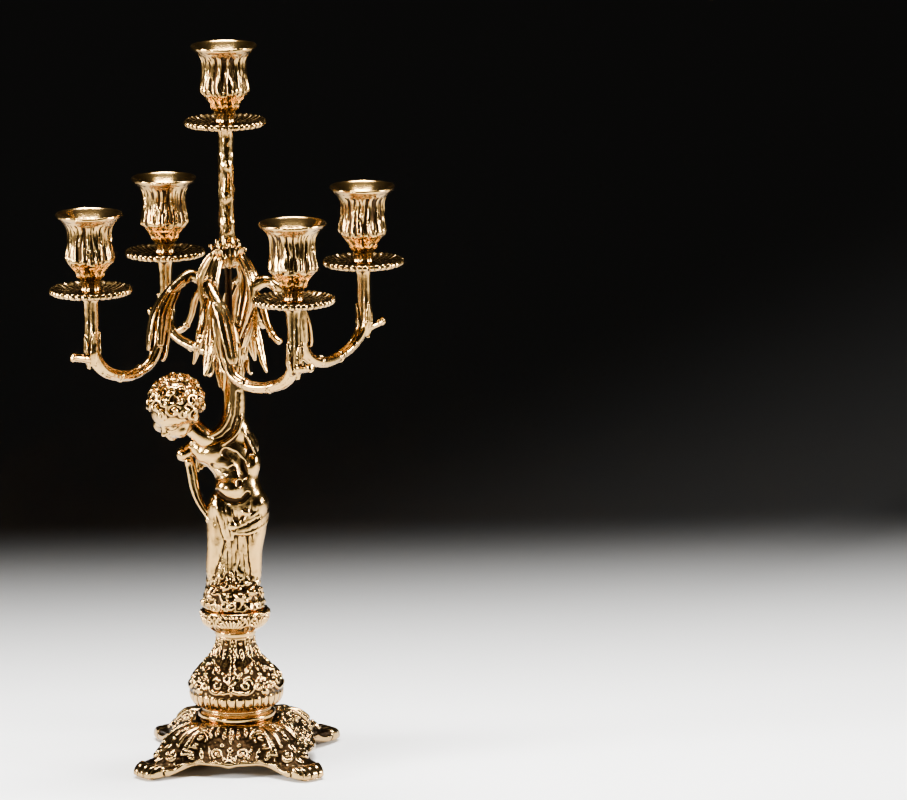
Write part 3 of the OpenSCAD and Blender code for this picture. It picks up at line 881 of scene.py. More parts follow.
def over_leg(a, wide):
    """1 over a leg, falling to 0 at the middle of a side; angle in degrees, wide is the spread."""
    off = np.maximum(np.abs(a % 90 - 45) - 4.5, 0)
    return np.exp(-((off / wide) ** 2))


# Rows of the base's outside, from the seat of the ring down to the bottom edge.
OUTSIDE_ROWS = 150


def base_rings(around):
    """Stack of rings from the seat over the outside, under the rim and up the hollow inside."""
    seat = RING_R + 1.5
    top = BASE_TOP
    low = APRON_LIFT
    # radius and height at the middle of a side, then over a leg, then the leg's spread
    outside = curve([
        [seat, seat, top, top, 30],
        [APRON_R - 17, KNEE_R - 12, top - 5.2, top - 1.6, 18],
        [APRON_R - 11.5, KNEE_R - 4, top - 9.8, top - 5.8, 15],
        [APRON_R - 6, KNEE_R + 1.5, top - 14.3, top - 11.2, 13.5],
        [APRON_R - 2, TOE_R - 17, low + 3.5, FOOT_H + 2.2, 11.5],
        [APRON_R - 1, TOE_R - 11.5, low + 2.6, FOOT_H - 0.3, 9.6],
        [APRON_R - 0.8, TOE_R - 5, low + 1.8, FOOT_H - 0.4, 8.6],
        [APRON_R - 0.6, TOE_R - 1.8, low + 1.2, 0.65 * FOOT_H, 8.2],
        [APRON_R - 0.8, TOE_R - 1.2, low + 0.7, 0.3 * FOOT_H, 8.2],
        [APRON_R - 1.4, TOE_R - 3, low, 0, 8.4],
    ], 30)
    # rows spread evenly over the run down a leg and down a side together
    gap = np.linalg.norm(np.diff(outside[:, [0, 2]], axis=0), axis=1)
    gap = gap + np.linalg.norm(np.diff(outside[:, [1, 3]], axis=0), axis=1)
    run = np.concatenate([[0], np.cumsum(gap)])
    at = np.linspace(0, run[-1], OUTSIDE_ROWS)
    outside = np.stack([np.interp(at, run, outside[:, k]) for k in range(5)], 1)
    crown = np.array([[BASE_HOLE_R, BASE_HOLE_R, top, top, 30], [seat / 2, seat / 2, top, top, 30]])
    inside = np.array([
        [APRON_R - 4, TOE_R - 18, low, 0, 9],
        [APRON_R - 6, KNEE_R + 1, low + 1.5, 4.5, 9.5],
        [APRON_R - 11.5, KNEE_R - 4, top - 14, top - 16.5, 10],
        [APRON_R - 17.5, KNEE_R - 13, top - 8.5, top - 9, 12],
        [seat - 2, seat - 2, top - 4, top - 4, 30],
        [seat / 2, seat / 2, top - 4, top - 4, 30],
        [BASE_HOLE_R, BASE_HOLE_R, top - 4, top - 4, 30],
    ])
    levels = np.vstack([crown, outside, curve(inside, 4)])
    a = np.linspace(0, 360, around, endpoint=False)[None, :]
    w = over_leg(a, levels[:, 4:5])
    r = mix(levels[:, 0:1], levels[:, 1:2], w)
    z = mix(levels[:, 2:3], levels[:, 3:4], w)
    rad = np.radians(a)
    return np.stack([r * np.cos(rad), r * np.sin(rad), z], -1)


def side_face(u, v):
    """Carving of one side of the base; u across from its middle, v up its slope from the edge."""
    s = np.abs(u)
    eye = (19.6, 19.2)
    # roped outer band, thin inner band and eye of the C-scroll on either hand
    rope = ridge(s, v, scroll(eye, 10.6, 7.2, -65, 235), 1.9, 2.1, 0.7)
    turn = np.arctan2(v - eye[1], s - eye[0])
    return highest(
        rope * (0.8 + 0.2 * np.sin(18 * turn + 1.2 * v)),
        ridge(s, v, scroll(eye, 6.9, 4.6, -80, 290), 0.75, 1.5, 0.8),
        bead(s, v, (eye[0] - 1.0, eye[1] + 0.8), 2.5, 2.3),
        bead(s, v, (eye[0] + 1.9, eye[1] - 4.1), 1.8, 1.8),
        leaf(s, v, (22.5, 4.0), (26.5, 13.5), 1.9, 1.6, 2),
        leaf(s, v, (17.0, 4.2), (18.2, 12.2), 1.7, 1.5, 2),
        # leaves standing under the ring
        *[leaf(s, v, (at, low), (at * 0.82, high), 1.75, 1.9, 1)
          for at, low, high in ((4.6, 20.5, 28.6), (9.6, 21.5, 29.2), (14.0, 24.0, 29.4))],
        # drop, shell and beads down the middle
        leaf(u, v, (0, 29.0), (0, 16.5), 2.4, 2.1, 2),
        bead(u, v, (0, 12.6), 2.5, 2.5),
        leaf(u, v, (0, 3.6), (0, 10.8), 2.9, 1.9, 3),
        bead(s, v, (5.4, 16.2), 1.7, 1.8),
        ridge(s, v, scroll((7.6, 9.6), 3.9, 1.2, -60, 420), 1.0, 1.8, 0.8),
        bead(s, v, (7.6, 9.6), 1.4, 1.8),
        leaf(s, v, (11.6, 5.0), (13.4, 14.2), 1.6, 1.6, 2),
        leaf(s, v, (3.2, 4.0), (4.6, 10.5), 1.1, 1.3, 2),
    )


def leg_top(w, d):
    """Leaf strands and curls running down a leg, w off its ridge and d out from the centre."""
    t = np.abs(w)
    strands = [
        curve([[start, 30 + k], [bend, 40 - 1.5 * k], [end, 52 - 3.2 * k]], 12)
        for k, (start, bend, end) in enumerate(((3.4, 5.0, 6.4), (6.6, 9.0, 11.0), (10.0, 13.0, 15.4)))
    ]
    return highest(
        leaf(w, d, (0, 66), (0, 50), 3.6, 1.9, 2),
        bead(w, d, (0, 48.5), 2.6, 2.2),
        leaf(w, d, (0, 46.5), (0, 31), 3.2, 1.9, 3),
        *[ridge(t, d, strand, 1.5, 1.9, 0.8) for strand in strands],
        ridge(t, d, scroll((6.4, 57.4), 3.4, 1.0, 170, -400), 1.1, 1.9, 0.8),
        bead(t, d, (6.4, 57.4), 1.4, 2.1),
    )


def base_relief(rings):
    """Carving of the four sides and four legs, in mm, for the outer rows of the base."""
    x, y, z = rings[..., 0], rings[..., 1], rings[..., 2]
    a = np.arctan2(y, x)
    r = np.hypot(x, y)
    side = folded(a, 4)
    u = r * np.sin(side)
    last = 1 + OUTSIDE_ROWS
    step = np.linalg.norm(np.diff(rings, axis=0), axis=-1)
    run = np.vstack([np.zeros((1, rings.shape[1])), np.cumsum(step, 0)])
    v = run[last][None, :] - run
    leg = folded(a, 4, math.radians(45))
    w = r * np.sin(leg)
    d = r * np.cos(leg)
    on_side = np.abs(side) < math.radians(34)
    carved = side_face(u, v) * on_side
    carved = np.maximum(carved, leg_top(w, d) * (1 - smooth_step(0.24, 0.27, np.abs(leg))) * (z > 3))
    # plain bright edge along the bottom, scalloped, and a plain toe with three cuts
    edge = 2.6 + 0.7 * np.cos(np.abs(u) * TURN / 9.5) + 1.4 * np.exp(-((u / 2.6) ** 2))
    plain = (1 - smooth_step(edge, edge + 0.7, v)) * (d < 66)
    toe = smooth_step(65.5, 68.5, d)
    ground = (1 - smooth_step(0.1, 0.8, carved)) * (1 - plain) * (1 - toe)
    out = carved + 0.25 * ground * lumps(rings, 1.6, 51)
    out = mix(out, 1.6, plain)
    cuts = 0.9 * np.minimum(np.abs(np.cos(w * math.pi / 5.6)) * 2, 1) + 0.2
    out = mix(out, cuts * smooth_step(0.4, 2.5, z), toe)
    off_seat = smooth_step(RING_R + 0.6, RING_R + 3, r)
    return (out - 0.9) * off_seat, ground * off_seat


def make_base():
    rings = base_rings(760)
    outside = (np.arange(len(rings)) < 2 + OUTSIDE_ROWS)[:, None]
    amount, ground = base_relief(rings)
    # the rings run down the outside, so the skin's own front is inward
    made = pushed(rings, np.where(outside, -amount, 0), closed=True)
    sag = np.exp(-((folded(np.arctan2(rings[..., 1], rings[..., 0]), 4) / 0.07) ** 2))
    low = 1 - smooth_step(APRON_LIFT, APRON_LIFT + 6, rings[..., 2])
    made[..., 2] = np.clip(made[..., 2] - 1.2 * sag * low * outside, 0, BASE_TOP)
    obj = skin("base_chased", made, closed=True)
    face_outward(obj)
    # painted shade: ground adds patina and shade to the field between the chased motifs, and the base takes
    # the darker copy of the gilt brass
    mark_hollow_shade(obj, 8, 0.3, 0.24 * (ground * outside).ravel())
    shaded_gilt(obj, "base_casting")


# ---------------------------------------------------------------- rods and fasteners


def turned_rod(name, r, low, high, chamfer=0.5):
    pick_none()
    bpy.ops.mesh.primitive_cylinder_add(vertices=48, radius=r * MM, depth=(high - low) * MM,
                                        location=(0, 0, (low + high) / 2 * MM))
    obj = bpy.context.view_layer.objects.active
    bpy.ops.object.transform_apply(location=True)
    bpy.ops.object.mode_set(mode="EDIT")
    bpy.ops.mesh.select_all(action="DESELECT")
    bpy.ops.object.mode_set(mode="OBJECT")
    for edge in obj.data.edges:
        a, b = (obj.data.vertices[k].co.z for k in edge.vertices)
        edge.select = abs(a - b) < 1e-7
    bpy.ops.object.mode_set(mode="EDIT")
    bpy.ops.mesh.bevel(offset=chamfer * MM, segments=2)
    bpy.ops.object.mode_set(mode="OBJECT")
    obj.name = name
    obj.data.name = name
    crisp(obj, 35)
    return obj


# ---------------------------------------------------------------- figure: a putto on a rocky mound
# Drawn with x to the figure's left of the view, -y to the front and z up from its feet, then turned.

BODY_LEVELS = [
    # x, y, height, half width, half depth
    [-0.2, 0, 0.03, 19.6, 19.0],
    [-0.5, 0, 6, 18.6, 16.8],
    [-1.8, 0, 13, 16.6, 13.5],
    [-1.2, 0.5, 21, 14.8, 10.5],
    [0.1, 0.8, 29, 14.2, 9.2],
    [0.7, 0.8, 37, 13.8, 8.8],
    [1.7, 0.6, 47, 14.0, 9.5],
    [2.7, 0.4, 57, 16.2, 11.6],
    [3.4, -0.5, 64, 17.2, 13.0],
    [3.9, -1, 72, 15.8, 12.6],
    [3.3, -1.2, 80, 14.0, 11.8],
    [2.2, -0.6, 86, 14.0, 11.2],
    [-1.5, 0, 92, 15.6, 10.8],
    [-4.5, 0, 98, 17.3, 10.4],
    [-6.3, 0, 104, 18.2, 9.4],
    [-5.8, 0, 109, 16.0, 8.4],
    [-1.5, 0, 114, 10.9, 7.6],
    [0.6, 0, 119, 7.9, 7.2],
    [1.9, 0, 127, 7.3, 7.0],
    [2.1, 0, 138, 7.2, 7.0],
    [0.6, 0, 149.97, 7.3, 7.3],
]


def body_core():
    levels = curve(BODY_LEVELS, 6)
    a = np.linspace(0, TURN, 72, endpoint=False)[None, :]
    x = levels[:, 0:1] + levels[:, 3:4] * np.cos(a)
    y = levels[:, 1:2] + levels[:, 4:5] * np.sin(a)
    return skin("body_core", np.stack([x, y, np.broadcast_to(levels[:, 2:3], x.shape)], -1))


def flesh():
    """Rounded masses of a child's body."""
    masses = [
        ("belly", (-0.4, -5.8, 78.6), (10.8, 10.0, 8.8), 0),
        ("waist", (1.6, -2.0, 88.0), (11.4, 9.6, 6.0), 0),
        ("chest", (-9.6, -1.6, 101.6), (14.6, 9.4, 9.6), -16),
        ("chest_low", (-6.4, -3.4, 95.2), (8.6, 7.6, 6.4), -20),
        ("shoulder_left", (-21.0, 0.2, 103.4), (6.4, 6.6, 6.6), 0),
        ("shoulder_raised", (3.0, 0.2, 113.0), (9.0, 8.2, 10.0), 0),
        ("flank_right", (12.0, -2.0, 91.5), (6.0, 8.4, 9.8), 10),
        ("hip_left", (-8.6, -3.6, 66.0), (6.8, 9.8, 10.4), 0),
        ("hip_right", (14.4, -2.2, 66.5), (7.8, 10.0, 10.4), 0),
        ("seat_left", (-4.2, 7.2, 62.5), (9.4, 8.6, 9.4), 0),
        ("seat_right", (10.4, 7.2, 62.5), (9.4, 8.6, 9.4), 0),
        ("blade_left", (-12.0, 5.0, 101.0), (7.6, 6.0, 7.6), 0),
        ("blade_right", (3.0, 5.2, 103.0), (7.0, 5.6, 8.0), 0),
        ("calf_left", (-11.6, 0.6, 26.0), (6.0, 7.4, 10.0), 0),
        ("calf_right", (12.0, 0.6, 27.0), (5.8, 7.4, 10.0), 0),
    ]
    made = [ball(n, c, r, (0, math.radians(t), 0)) for n, c, r, t in masses]
    legs = [
        [(-7.6, -2.0, 64, 9.2, 9.6), (-8.4, -3.0, 52, 8.4, 8.6), (-9.5, -3.6, 39, 7.4, 7.2),
         (-11.4, -2.6, 27, 6.3, 6.4), (-12.4, -3.4, 17, 4.9)],
        [(12.4, -2.0, 64, 9.4, 9.6), (12.2, -3.0, 52, 8.7, 8.6), (10.9, -3.6, 39, 7.3, 7.2),
         (11.3, -2.6, 27, 6.2, 6.4), (11.4, -3.4, 17, 4.8, 4.9)],
    ]
    made += [rod("leg", leg, (1, 0, 0), 32) for leg in legs]
    for x in (-11.6, 11.0):
        made.append(ball("foot", (x, -9.2, 13.6), (4.3, 7.4, 3.4), (math.radians(12), 0, 0)))
        for k in range(5):
            spot = (x - 3.2 + 1.6 * k, -15.2 + 0.35 * abs(k - 1.2), 12.4)
            made.append(ball("toe", spot, (0.95, 1.5, 1.1), rings=8, sides=12))
    return made


def sinews():
    """Raised folds of flesh from the low shoulder up into the raised arm."""
    lines = [
        [(-25.6, -3.4, 106.4, 1.1), (-15.4, -7.8, 110.6, 1.5), (-7.4, -8.4, 114.8, 1.6),
         (-2.6, -7.2, 121.4, 1.5), (-0.4, -6.0, 131.0, 1.3), (0.4, -6.2, 145.0, 1.0)],
        [(-9.0, -9.6, 104.8, 0.8), (-1.6, -9.2, 108.6, 1.1), (4.0, -7.6, 114.4, 1.1),
         (6.6, -4.6, 124.0, 0.9)],
    ]
    return [rod("sinew", s, (1, 0, 0), 16) for s in lines]


def drapery():
    """Swag from the right hip to the front, and its ends falling between the legs."""
    rng = np.random.default_rng(61)
    made = []
    for k in range(5):
        drop = 2.7 * k + rng.uniform(-0.7, 0.7)
        size = rng.uniform(0.75, 1.2)
        made.append(rod("swag", [(15.0, 10.5, 67.5 - drop * 0.7, 1.5),
            (21.0, 1.5, 68.5 - drop, 1.6 * size), (17.4, -8.2, 64.6 - drop, 1.7 * size, 1.6 * size),
            (9.4, -12.0, 59.6 - drop * 0.8 + rng.uniform(-0.8, 0.8), 1.6 * size, 1.5),
            (0.6, -11.8, 54.4 - drop * 0.4, 1.1)], (0, 0, 1), 14))
    for k in range(4):
        drop = 3.4 * k
        made.append(rod("back_swag", [
            (20.0, 6.0, 70.0 - drop, 1.7), (9.0, 15.0, 65.0 - drop, 2.0),
            (-5.0, 14.6, 62.0 - drop, 1.9), (-14.6, 7.2, 60.5 - drop * 0.8, 1.5)], (0, 0, 1), 14))
    for k in range(3):
        made.append(rod("hip_fold", [(-9.8 + 3.4 * k, -10.0 - 0.8 * k, 74.0 - 3.0 * k, 1.4, 1.2),
            (-8.6 + 3.2 * k, -12.0 - 0.3 * k, 65.0 - 1.4 * k, 2.0, 1.5),
            (-6.4 + 2.6 * k, -12.0, 55.0, 1.5, 1.3), (-4.6 + 1.9 * k, -11.4, 46.0, 0.9)], (1, 0, 0), 14))
    made.append(ball("knot", (-0.6, -12.2, 55.0), (3.0, 2.4, 3.4)))
    made.append(ball("knot_loop", (7.6, -12.6, 63.4), (3.2, 2.0, 2.4), (0, 0.5, 0)))
    count = 13
    for k in range(count):
        f = k / (count - 1) - 0.5
        sway = rng.uniform(-1.5, 1.5)
        low = 19 + rng.uniform(-2.5, 5.0)
        made.append(rod("fall", [(1.4 + 6 * f, -11.2, 57.0, 1.1), (1.6 + 9 * f + sway, -10.6, 46.0, 1.2),
            (0.4 + 14 * f - sway, -9.6, 34.0, 1.2), (-1.2 + 19 * f + 0.5 * sway, -10.0 + 3 * f * f,
            low + 5, 1.05, 1.1), (-2.0 + 21 * f, -11.4 + 5 * f * f, low - 2, 0.8, 0.9)], (1, 0, 0), 12,
            gap=1.0))
    for k in range(12):
        f = k / 11 - 0.5
        sway = rng.uniform(-1.5, 1.5)
        made.append(rod("back_fall", [(2.0 + 22 * f, 11.2, 58.0, 1.5),
            (1.6 + 24 * f + sway, 9.8, 42.0, 1.7, 1.5), (0.6 + 27 * f - sway, 9.6, 27.0, 1.6, 1.5),
            (0.0 + 30 * f, 11.6 - 8 * f * f, 13.0, 1.3)], (1, 0, 0), 12, gap=1.2))
    return made


def wings():
    """Two small feathered wings, one showing beside the raised shoulder."""
    made = [ball("wing_root", (10.6, 1.6, 105.0), (4.6, 6.2, 7.6), (0, math.radians(-18), 0))]
    for k in range(6):
        made.append(blade("feather", [
            (8.0 + 1.0 * k, -5.6 + 2.1 * k, 113.0 - 0.6 * k, 1.2, 0.9),
            (11.6 + 0.9 * k, -5.4 + 2.2 * k, 106.0 - 0.8 * k, 2.3, 1.2),
            (14.2 - 0.1 * k, -4.2 + 2.2 * k, 99.5 - 1.4 * k, 1.9, 1.0),
            (13.8 - 0.5 * k, -3.2 + 2.2 * k, 94.5 - 1.8 * k, 0.7, 0.6)], (0, 1, 0.2), 3, 0.12, 20))
    for k in range(5):
        made.append(blade("far_feather", [(-9.0 - 1.4 * k, 8.0, 108.0 - 0.6 * k, 1.4, 1.0),
            (-11.0 - 1.9 * k, 11.2, 103.0 - 1.2 * k, 2.4, 1.2), (-12.0 - 2.2 * k, 12.2, 96.0 - 1.6 * k,
            2.0, 1.0), (-12.0 - 2.3 * k, 11.6, 91.0 - 1.6 * k, 0.7, 0.6)], (1, 0, 0), 3, 0.12, 20))
    return made


def mound():
    """Rocks and moss scrolls under the feet."""
    rng = np.random.default_rng(62)
    made = []
    rows = [(3.4, 16.0, 4.8, 12), (9.6, 14.8, 4.8, 11), (16.0, 13.2, 3.9, 9)]
    for row, (z, r, size, count) in enumerate(rows):
        for k in range(count):
            a = TURN * (k + 0.5 * (row % 2) + rng.uniform(-0.25, 0.25)) / count
            s = size * rng.uniform(0.75, 1.12)
            made.append(ball("rock", (r * math.cos(a) - 0.8, 0.93 * r * math.sin(a),
                max(z + rng.uniform(-1.2, 1.2), s * 0.8)), (s, s * 0.85, s * rng.uniform(0.62, 0.95)),
                (rng.uniform(-0.5, 0.5), rng.uniform(-0.5, 0.5), a), 12, 16))
    for k in range(9):
        a = TURN * (k + rng.uniform(-0.2, 0.2)) / 9 - 1.2
        line = scroll((0, 0), 3.0, 0.9, rng.uniform(0, 360), 480, 14)
        out = np.array([math.cos(a), math.sin(a), 0])
        side = np.array([-math.sin(a), math.cos(a), 0])
        spot = out * (18.0 if k % 2 else 17.2) + np.array([-0.6, 0, 6.0 + 5.5 * (k % 2)])
        path = [tuple(spot + side * p[0] + np.array([0, 0, 1]) * p[1]) + (0.85, 0.85) for p in line]
        made.append(rod("moss_scroll", path, out, 10, gap=0.8))
    return made


def groove(points, line, width, depth, front):
    """Depth of a cut along a line drawn in x and z on the front or the back."""
    side = points[:, 1] < 0 if front else points[:, 1] > 0
    return -ridge(points[:, 0], points[:, 2], line, width, depth) * side


def make_figure():
    smooth_body = fuse("putto_flesh", [body_core()] + flesh(), 0.6, 22)
    body = fuse("putto_body", [smooth_body] + sinews() + drapery() + wings() + mound(), 0.5, 3)
    p = places(body)
    cuts = 0
    for line, width, depth, front in (
        ([(-9.5, 76.5), (-5, 72.6), (0.5, 70.6), (6, 71.6), (9.5, 75.0)], 1.8, 1.0, True),
        ([(-12.0, 93.0), (-7.0, 90.4), (-2.6, 89.8), (1.0, 91.6)], 1.8, 0.7, True),
        ([(-3.6, 101.0), (1.4, 98.6), (5.4, 94.0), (7.2, 87.4)], 3.2, 1.3, True),
        ([(-13.0, 107.0), (-5.0, 110.4), (0.4, 115.4), (3.4, 124.0), (4.6, 138.0)], 1.4, 0.6, True),
        ([(4.4, 81.4), (4.5, 82.6)], 2.0, 2.0, True),
        ([(2.6, 54), (2.8, 66), (3.0, 71)], 1.4, 1.6, False),
        ([(-4.0, 76), (-4.4, 90), (-5.0, 108)], 1.4, 0.8, False),
    ):
        cuts = cuts + groove(p, line, width, depth, front)
    carve(body, cuts)
    p = places(body)
    rocky = 1 - smooth_step(20, 28, p[:, 2])
    cloth = smooth_step(12, 20, p[:, 2]) * (1 - smooth_step(66, 74, p[:, 2])) * smooth_step(8.0, 10.5,
        np.abs(p[:, 1]))
    carve(body, rocky * (0.5 * lumps(p, 2.4, 63) + 0.35 * lumps(p, 1.2, 64))
          + cloth * 0.3 * lumps(p * [1, 1, 0.22], 1.3, 65) + 0.06 * lumps(p, 2.0, 66))
    seat_at(body, 0, FIGURE_H)
    body.data.transform(figure_place())
    mark_hollow_shade(body, 9, 0.3)
    gilt(body, "figure_body")
    make_head()
    make_bent_arm()


def figure_place():
    return Matrix.Rotation(FIGURE_TURN, 4, "Z") @ lifted(FIGURE_Z)


def make_head():
    """Round head with a calm, plain child's face and a cap of curls."""
    centre = np.array([-34.2, -10.0, 130.6])
    up = np.array([-0.25, -0.60, 0.76])
    up /= np.linalg.norm(up)
    front = np.array([-0.50, -0.62, -0.60])
    front -= up * front.dot(up)
    front /= np.linalg.norm(front)
    across = np.cross(front, up)
    axes = np.stack([across, front, up], 1)
    lumps_of_face = [
        ("skull", (0, -1.5, 2.2), (15.0, 16.0, 15.2)),
        ("brow", (0, 6.5, 3.0), (11.8, 9.6, 9.4)),
        ("face", (0, 4.6, -5.2), (12.2, 11.4, 11.6)),
        ("jaw", (0, 8.2, -11.0), (7.2, 5.8, 4.8)),
        ("chin", (0, 12.0, -13.0), (3.4, 2.8, 2.7)),
        ("nose_tip", (0, 17.0, -4.9), (1.9, 2.0, 1.7)),
    ]
    for side in (-1, 1):
        lumps_of_face += [
            ("cheek", (6.4 * side, 9.6, -6.8), (5.4, 5.2, 5.3)),
            ("lid", (4.9 * side, 13.7, -1.2), (2.7, 1.7, 1.7)),
            ("nostril", (1.5 * side, 16.0, -5.5), (1.2, 1.2, 1.0)),
            ("ear", (13.2 * side, 0.6, -4.2), (2.0, 3.0, 4.0)),
        ]
    lumps_of_face += [
        ("upper_lip", (0, 14.9, -8.5), (2.9, 1.3, 0.85)),
        ("lower_lip", (0, 14.5, -10.2), (2.3, 1.3, 0.9)),
    ]
    parts = [ball(n, c, r, rings=20, sides=28) for n, c, r in lumps_of_face]
    parts.append(rod("nose_bridge", [(0, 14.4, 1.6, 1.3), (0, 15.7, -2.0, 1.3), (0, 17.0, -4.6, 1.4)],
        (1, 0, 0), 14))
    # curls: small spirals laid over the crown and down the nape
    rng = np.random.default_rng(71)
    count = 52
    for k in range(count):
        z = 1 - 1.55 * (k + 0.5) / count
        a = k * 2.39996
        way = np.array([math.sqrt(1 - z * z) * math.cos(a), math.sqrt(1 - z * z) * math.sin(a), z])
        on_face = way[1] > 0.50 and way[2] < 0.36 - 0.12 * abs(way[0])
        if on_face or (abs(way[0]) > 0.75 and way[2] < -0.05 and way[1] > -0.15):
            continue
        spot = np.array([0, -1.5, 2.2]) + way * np.array([15.3, 16.3, 15.4])
        side = np.cross(way, [0.3, 0.2, 1.0])
        side /= np.linalg.norm(side)
        other = np.cross(way, side)
        line = scroll((0, 0), rng.uniform(3.3, 4.3), 0.8, rng.uniform(0, 360), rng.choice([-1, 1]) * 400, 14)
        path = [
            tuple(spot + side * p[0] + other * p[1] + way * (1.5 * t)) + (1.4, 1.3)
            for t, p in zip(np.linspace(0, 1, 14), line)
        ]
        parts.append(rod("curl", path, way, 9, gap=0.7))
    head = fuse("putto_head", parts, 0.38, 14)
    p = places(head)
    creases = [([(-2.5, -9.35), (0, -9.5), (2.5, -9.35)], 0.5)]
    for side in (-1, 1):
        creases.append(([(side * 2.4, -2.3), (side * 4.9, -2.9), (side * 7.2, -2.0)], 0.45))
        creases.append(([(side * 2.6, 0.6), (side * 5.0, 1.3), (side * 7.6, 0.2)], 0.35))
    amount = 0
    for line, depth in creases:
        amount = amount - ridge(p[:, 0], p[:, 2], line, 0.5, depth) * (p[:, 1] > 8)
    carve(head, amount)
    p = 1.05 * places(head) @ axes.T + centre
    put(head, p)
    neck_top = centre - up * 10 - front * 2.0
    neck = rod("neck", [(-13.5, -1.5, 106.5, 6.4), (-18.5, -4.2, 111.5, 6.2), tuple(neck_top) + (6.2, 6.2),
                        tuple(neck_top + up * 6) + (6.0, 6.0)], (0, 1, 0), 32)
    head = fuse("putto_head", [head, neck], 0.34, 1)
    head.data.transform(figure_place())
    mark_hollow_shade(head, 8, 0.2)
    gilt(head, "figure_head")


def make_bent_arm():
    def cleft(a, t):
        deep = smooth_step(0.06, 0.2, t)
        return 1 - 0.4 * deep * np.exp(-((np.cos(a) / 0.3) ** 2))

    upper = rod("upper_arm", [(-17.0, 2.0, 103.5, 5.2), (-23.5, 2.2, 102.6, 4.9),
        (-29.0, 0.4, 99.2, 4.4)], (0, 1, 0), 28)
    elbow = ball("elbow", (-30.4, 0.0, 98.8), (4.2, 4.4, 4.6))
    wrap = ball("sleeve", (-26.6, -0.8, 94.0), (3.0, 3.2, 2.2), (0, 0.5, 0))
    fore = rod("forearm", [(-27.2, -0.4, 96.0, 2.7, 2.5), (-25.2, -1.0, 88.0, 3.1, 2.4),
        (-23.6, -1.4, 78.0, 3.0, 2.3), (-20.8, -2.2, 69.0, 2.4, 2.2), (-16.4, -3.6, 61.5, 2.1),
        (-13.6, -4.6, 57.0, 2.2)], (1, 0, 0), 28, shape=cleft)
    hand = ball("hand", (-14.0, -5.2, 57.8), (3.2, 2.6, 3.2))
    fingers = [rod("finger", [(-14.6 + 0.2 * k, -6.4 - 0.3 * k, 59.6 - 1.5 * k, 0.85),
        (-11.4 + 0.2 * k, -8.6 - 0.2 * k, 57.8 - 1.6 * k, 0.75)], (0, 0, 1), 10) for k in range(4)]
    arm = fuse("putto_bent_arm", [upper, elbow, wrap, fore, hand] + fingers, 0.34, 2)
    roughen(arm, 2.0, 0.06, 72)
    arm.data.transform(figure_place())
    mark_hollow_shade(arm, 8, 0.2)
    gilt(arm, "figure_bent_arm")


# ---------------------------------------------------------------- cage hubs, rod and middle stem


def round_leaf(count, offset, z0, path, edge=0.1):
    """Leaves of [radius, height over z0, half width, half depth] points, evenly round the column."""
    made = []
    for k in range(count):
        a = offset + TURN * k / count
        line = [(r * math.cos(a), r * math.sin(a), z0 + z, w, d) for r, z, w, d in path]
        made.append(blade("hub_leaf", line, (-math.sin(a), math.cos(a), 0), 2, edge, 24))
    return made


def hub_core(name, side, top, gap, around, z0):
    """Solid turned core of a hub, in its place, with its points and their angle."""
    outline = np.vstack([[[0, 0]], even(curve(side, 8), gap), [[0, top]]])
    core = spun(name, outline, around)
    p = seat_at(core, z0)
    return core, p, around_column(p)[0]


def finish_hub(name, node, parts, cell, seed):
    hub = fuse(name, parts, cell, 2)
    roughen(hub, 2.0, 0.06, seed)
    mark_hollow_shade(hub, 9, 0.24)
    gilt(hub, node)


RIB_SWING = math.radians(-59.7)
GAP_TURN = ARM_TURN + RIB_SWING + TURN / 8


def make_lower_hub():
    h, z0 = LOWER_HUB_H, LOWER_HUB_Z
    side = [[7.3, 0], [8.1, 0.16 * h], [10.2, 0.35 * h], [11.4, 0.55 * h], [10.8, 0.72 * h], [8.0, 0.9 * h],
            [4.2, h - 0.1]]
    core, p, a = hub_core("hub_core", side, h - 0.1, 0.5, 180, z0)
    up = p[:, 2] - z0
    n = folded(a, 4, GAP_TURN) * 11
    m = folded(a, 4, GAP_TURN + TURN / 8) * 11
    q = folded(a, 8, GAP_TURN + TURN / 16) * 11
    amount = highest(
        leaf(n, up, (0, 29), (0, 4), 4.2, 1.7, 5),
        leaf(m, up, (0, 1), (0, 20), 3.4, 1.6, 4),
        ridge(q, up, [(0, 1), (0.6, 10), (0, 24)], 0.9, 1.3),
    )
    carve(core, amount + 0.12 * lumps(p, 2.4, 81) - 0.5)
    leaves = round_leaf(4, GAP_TURN, z0, [(7.0, 16, 3.2, 1.4), (10.8, 21, 4.2, 1.3), (12.6, 27, 3.6, 1.3),
        (14.6, 31.0, 2.0, 1.1), (16.4, 31.0, 1.2, 0.9)])
    leaves += round_leaf(4, GAP_TURN, z0, [(8.6, 15, 2.6, 1.3), (10.6, 8, 3.8, 1.4), (11.0, 2, 3.2, 1.3),
        (12.6, -1.4, 1.9, 1.1), (13.8, -1.2, 1.0, 0.9)])
    leaves += round_leaf(4, GAP_TURN + TURN / 8, z0, [(8.0, 8, 2.8, 1.3), (8.8, 1, 3.2, 1.2),
        (8.3, -5, 2.4, 1.0), (7.8, -10, 0.8, 0.7)])
    finish_hub("lower_hub_leaves", "lower_hub", [core] + leaves, 0.36, 82)


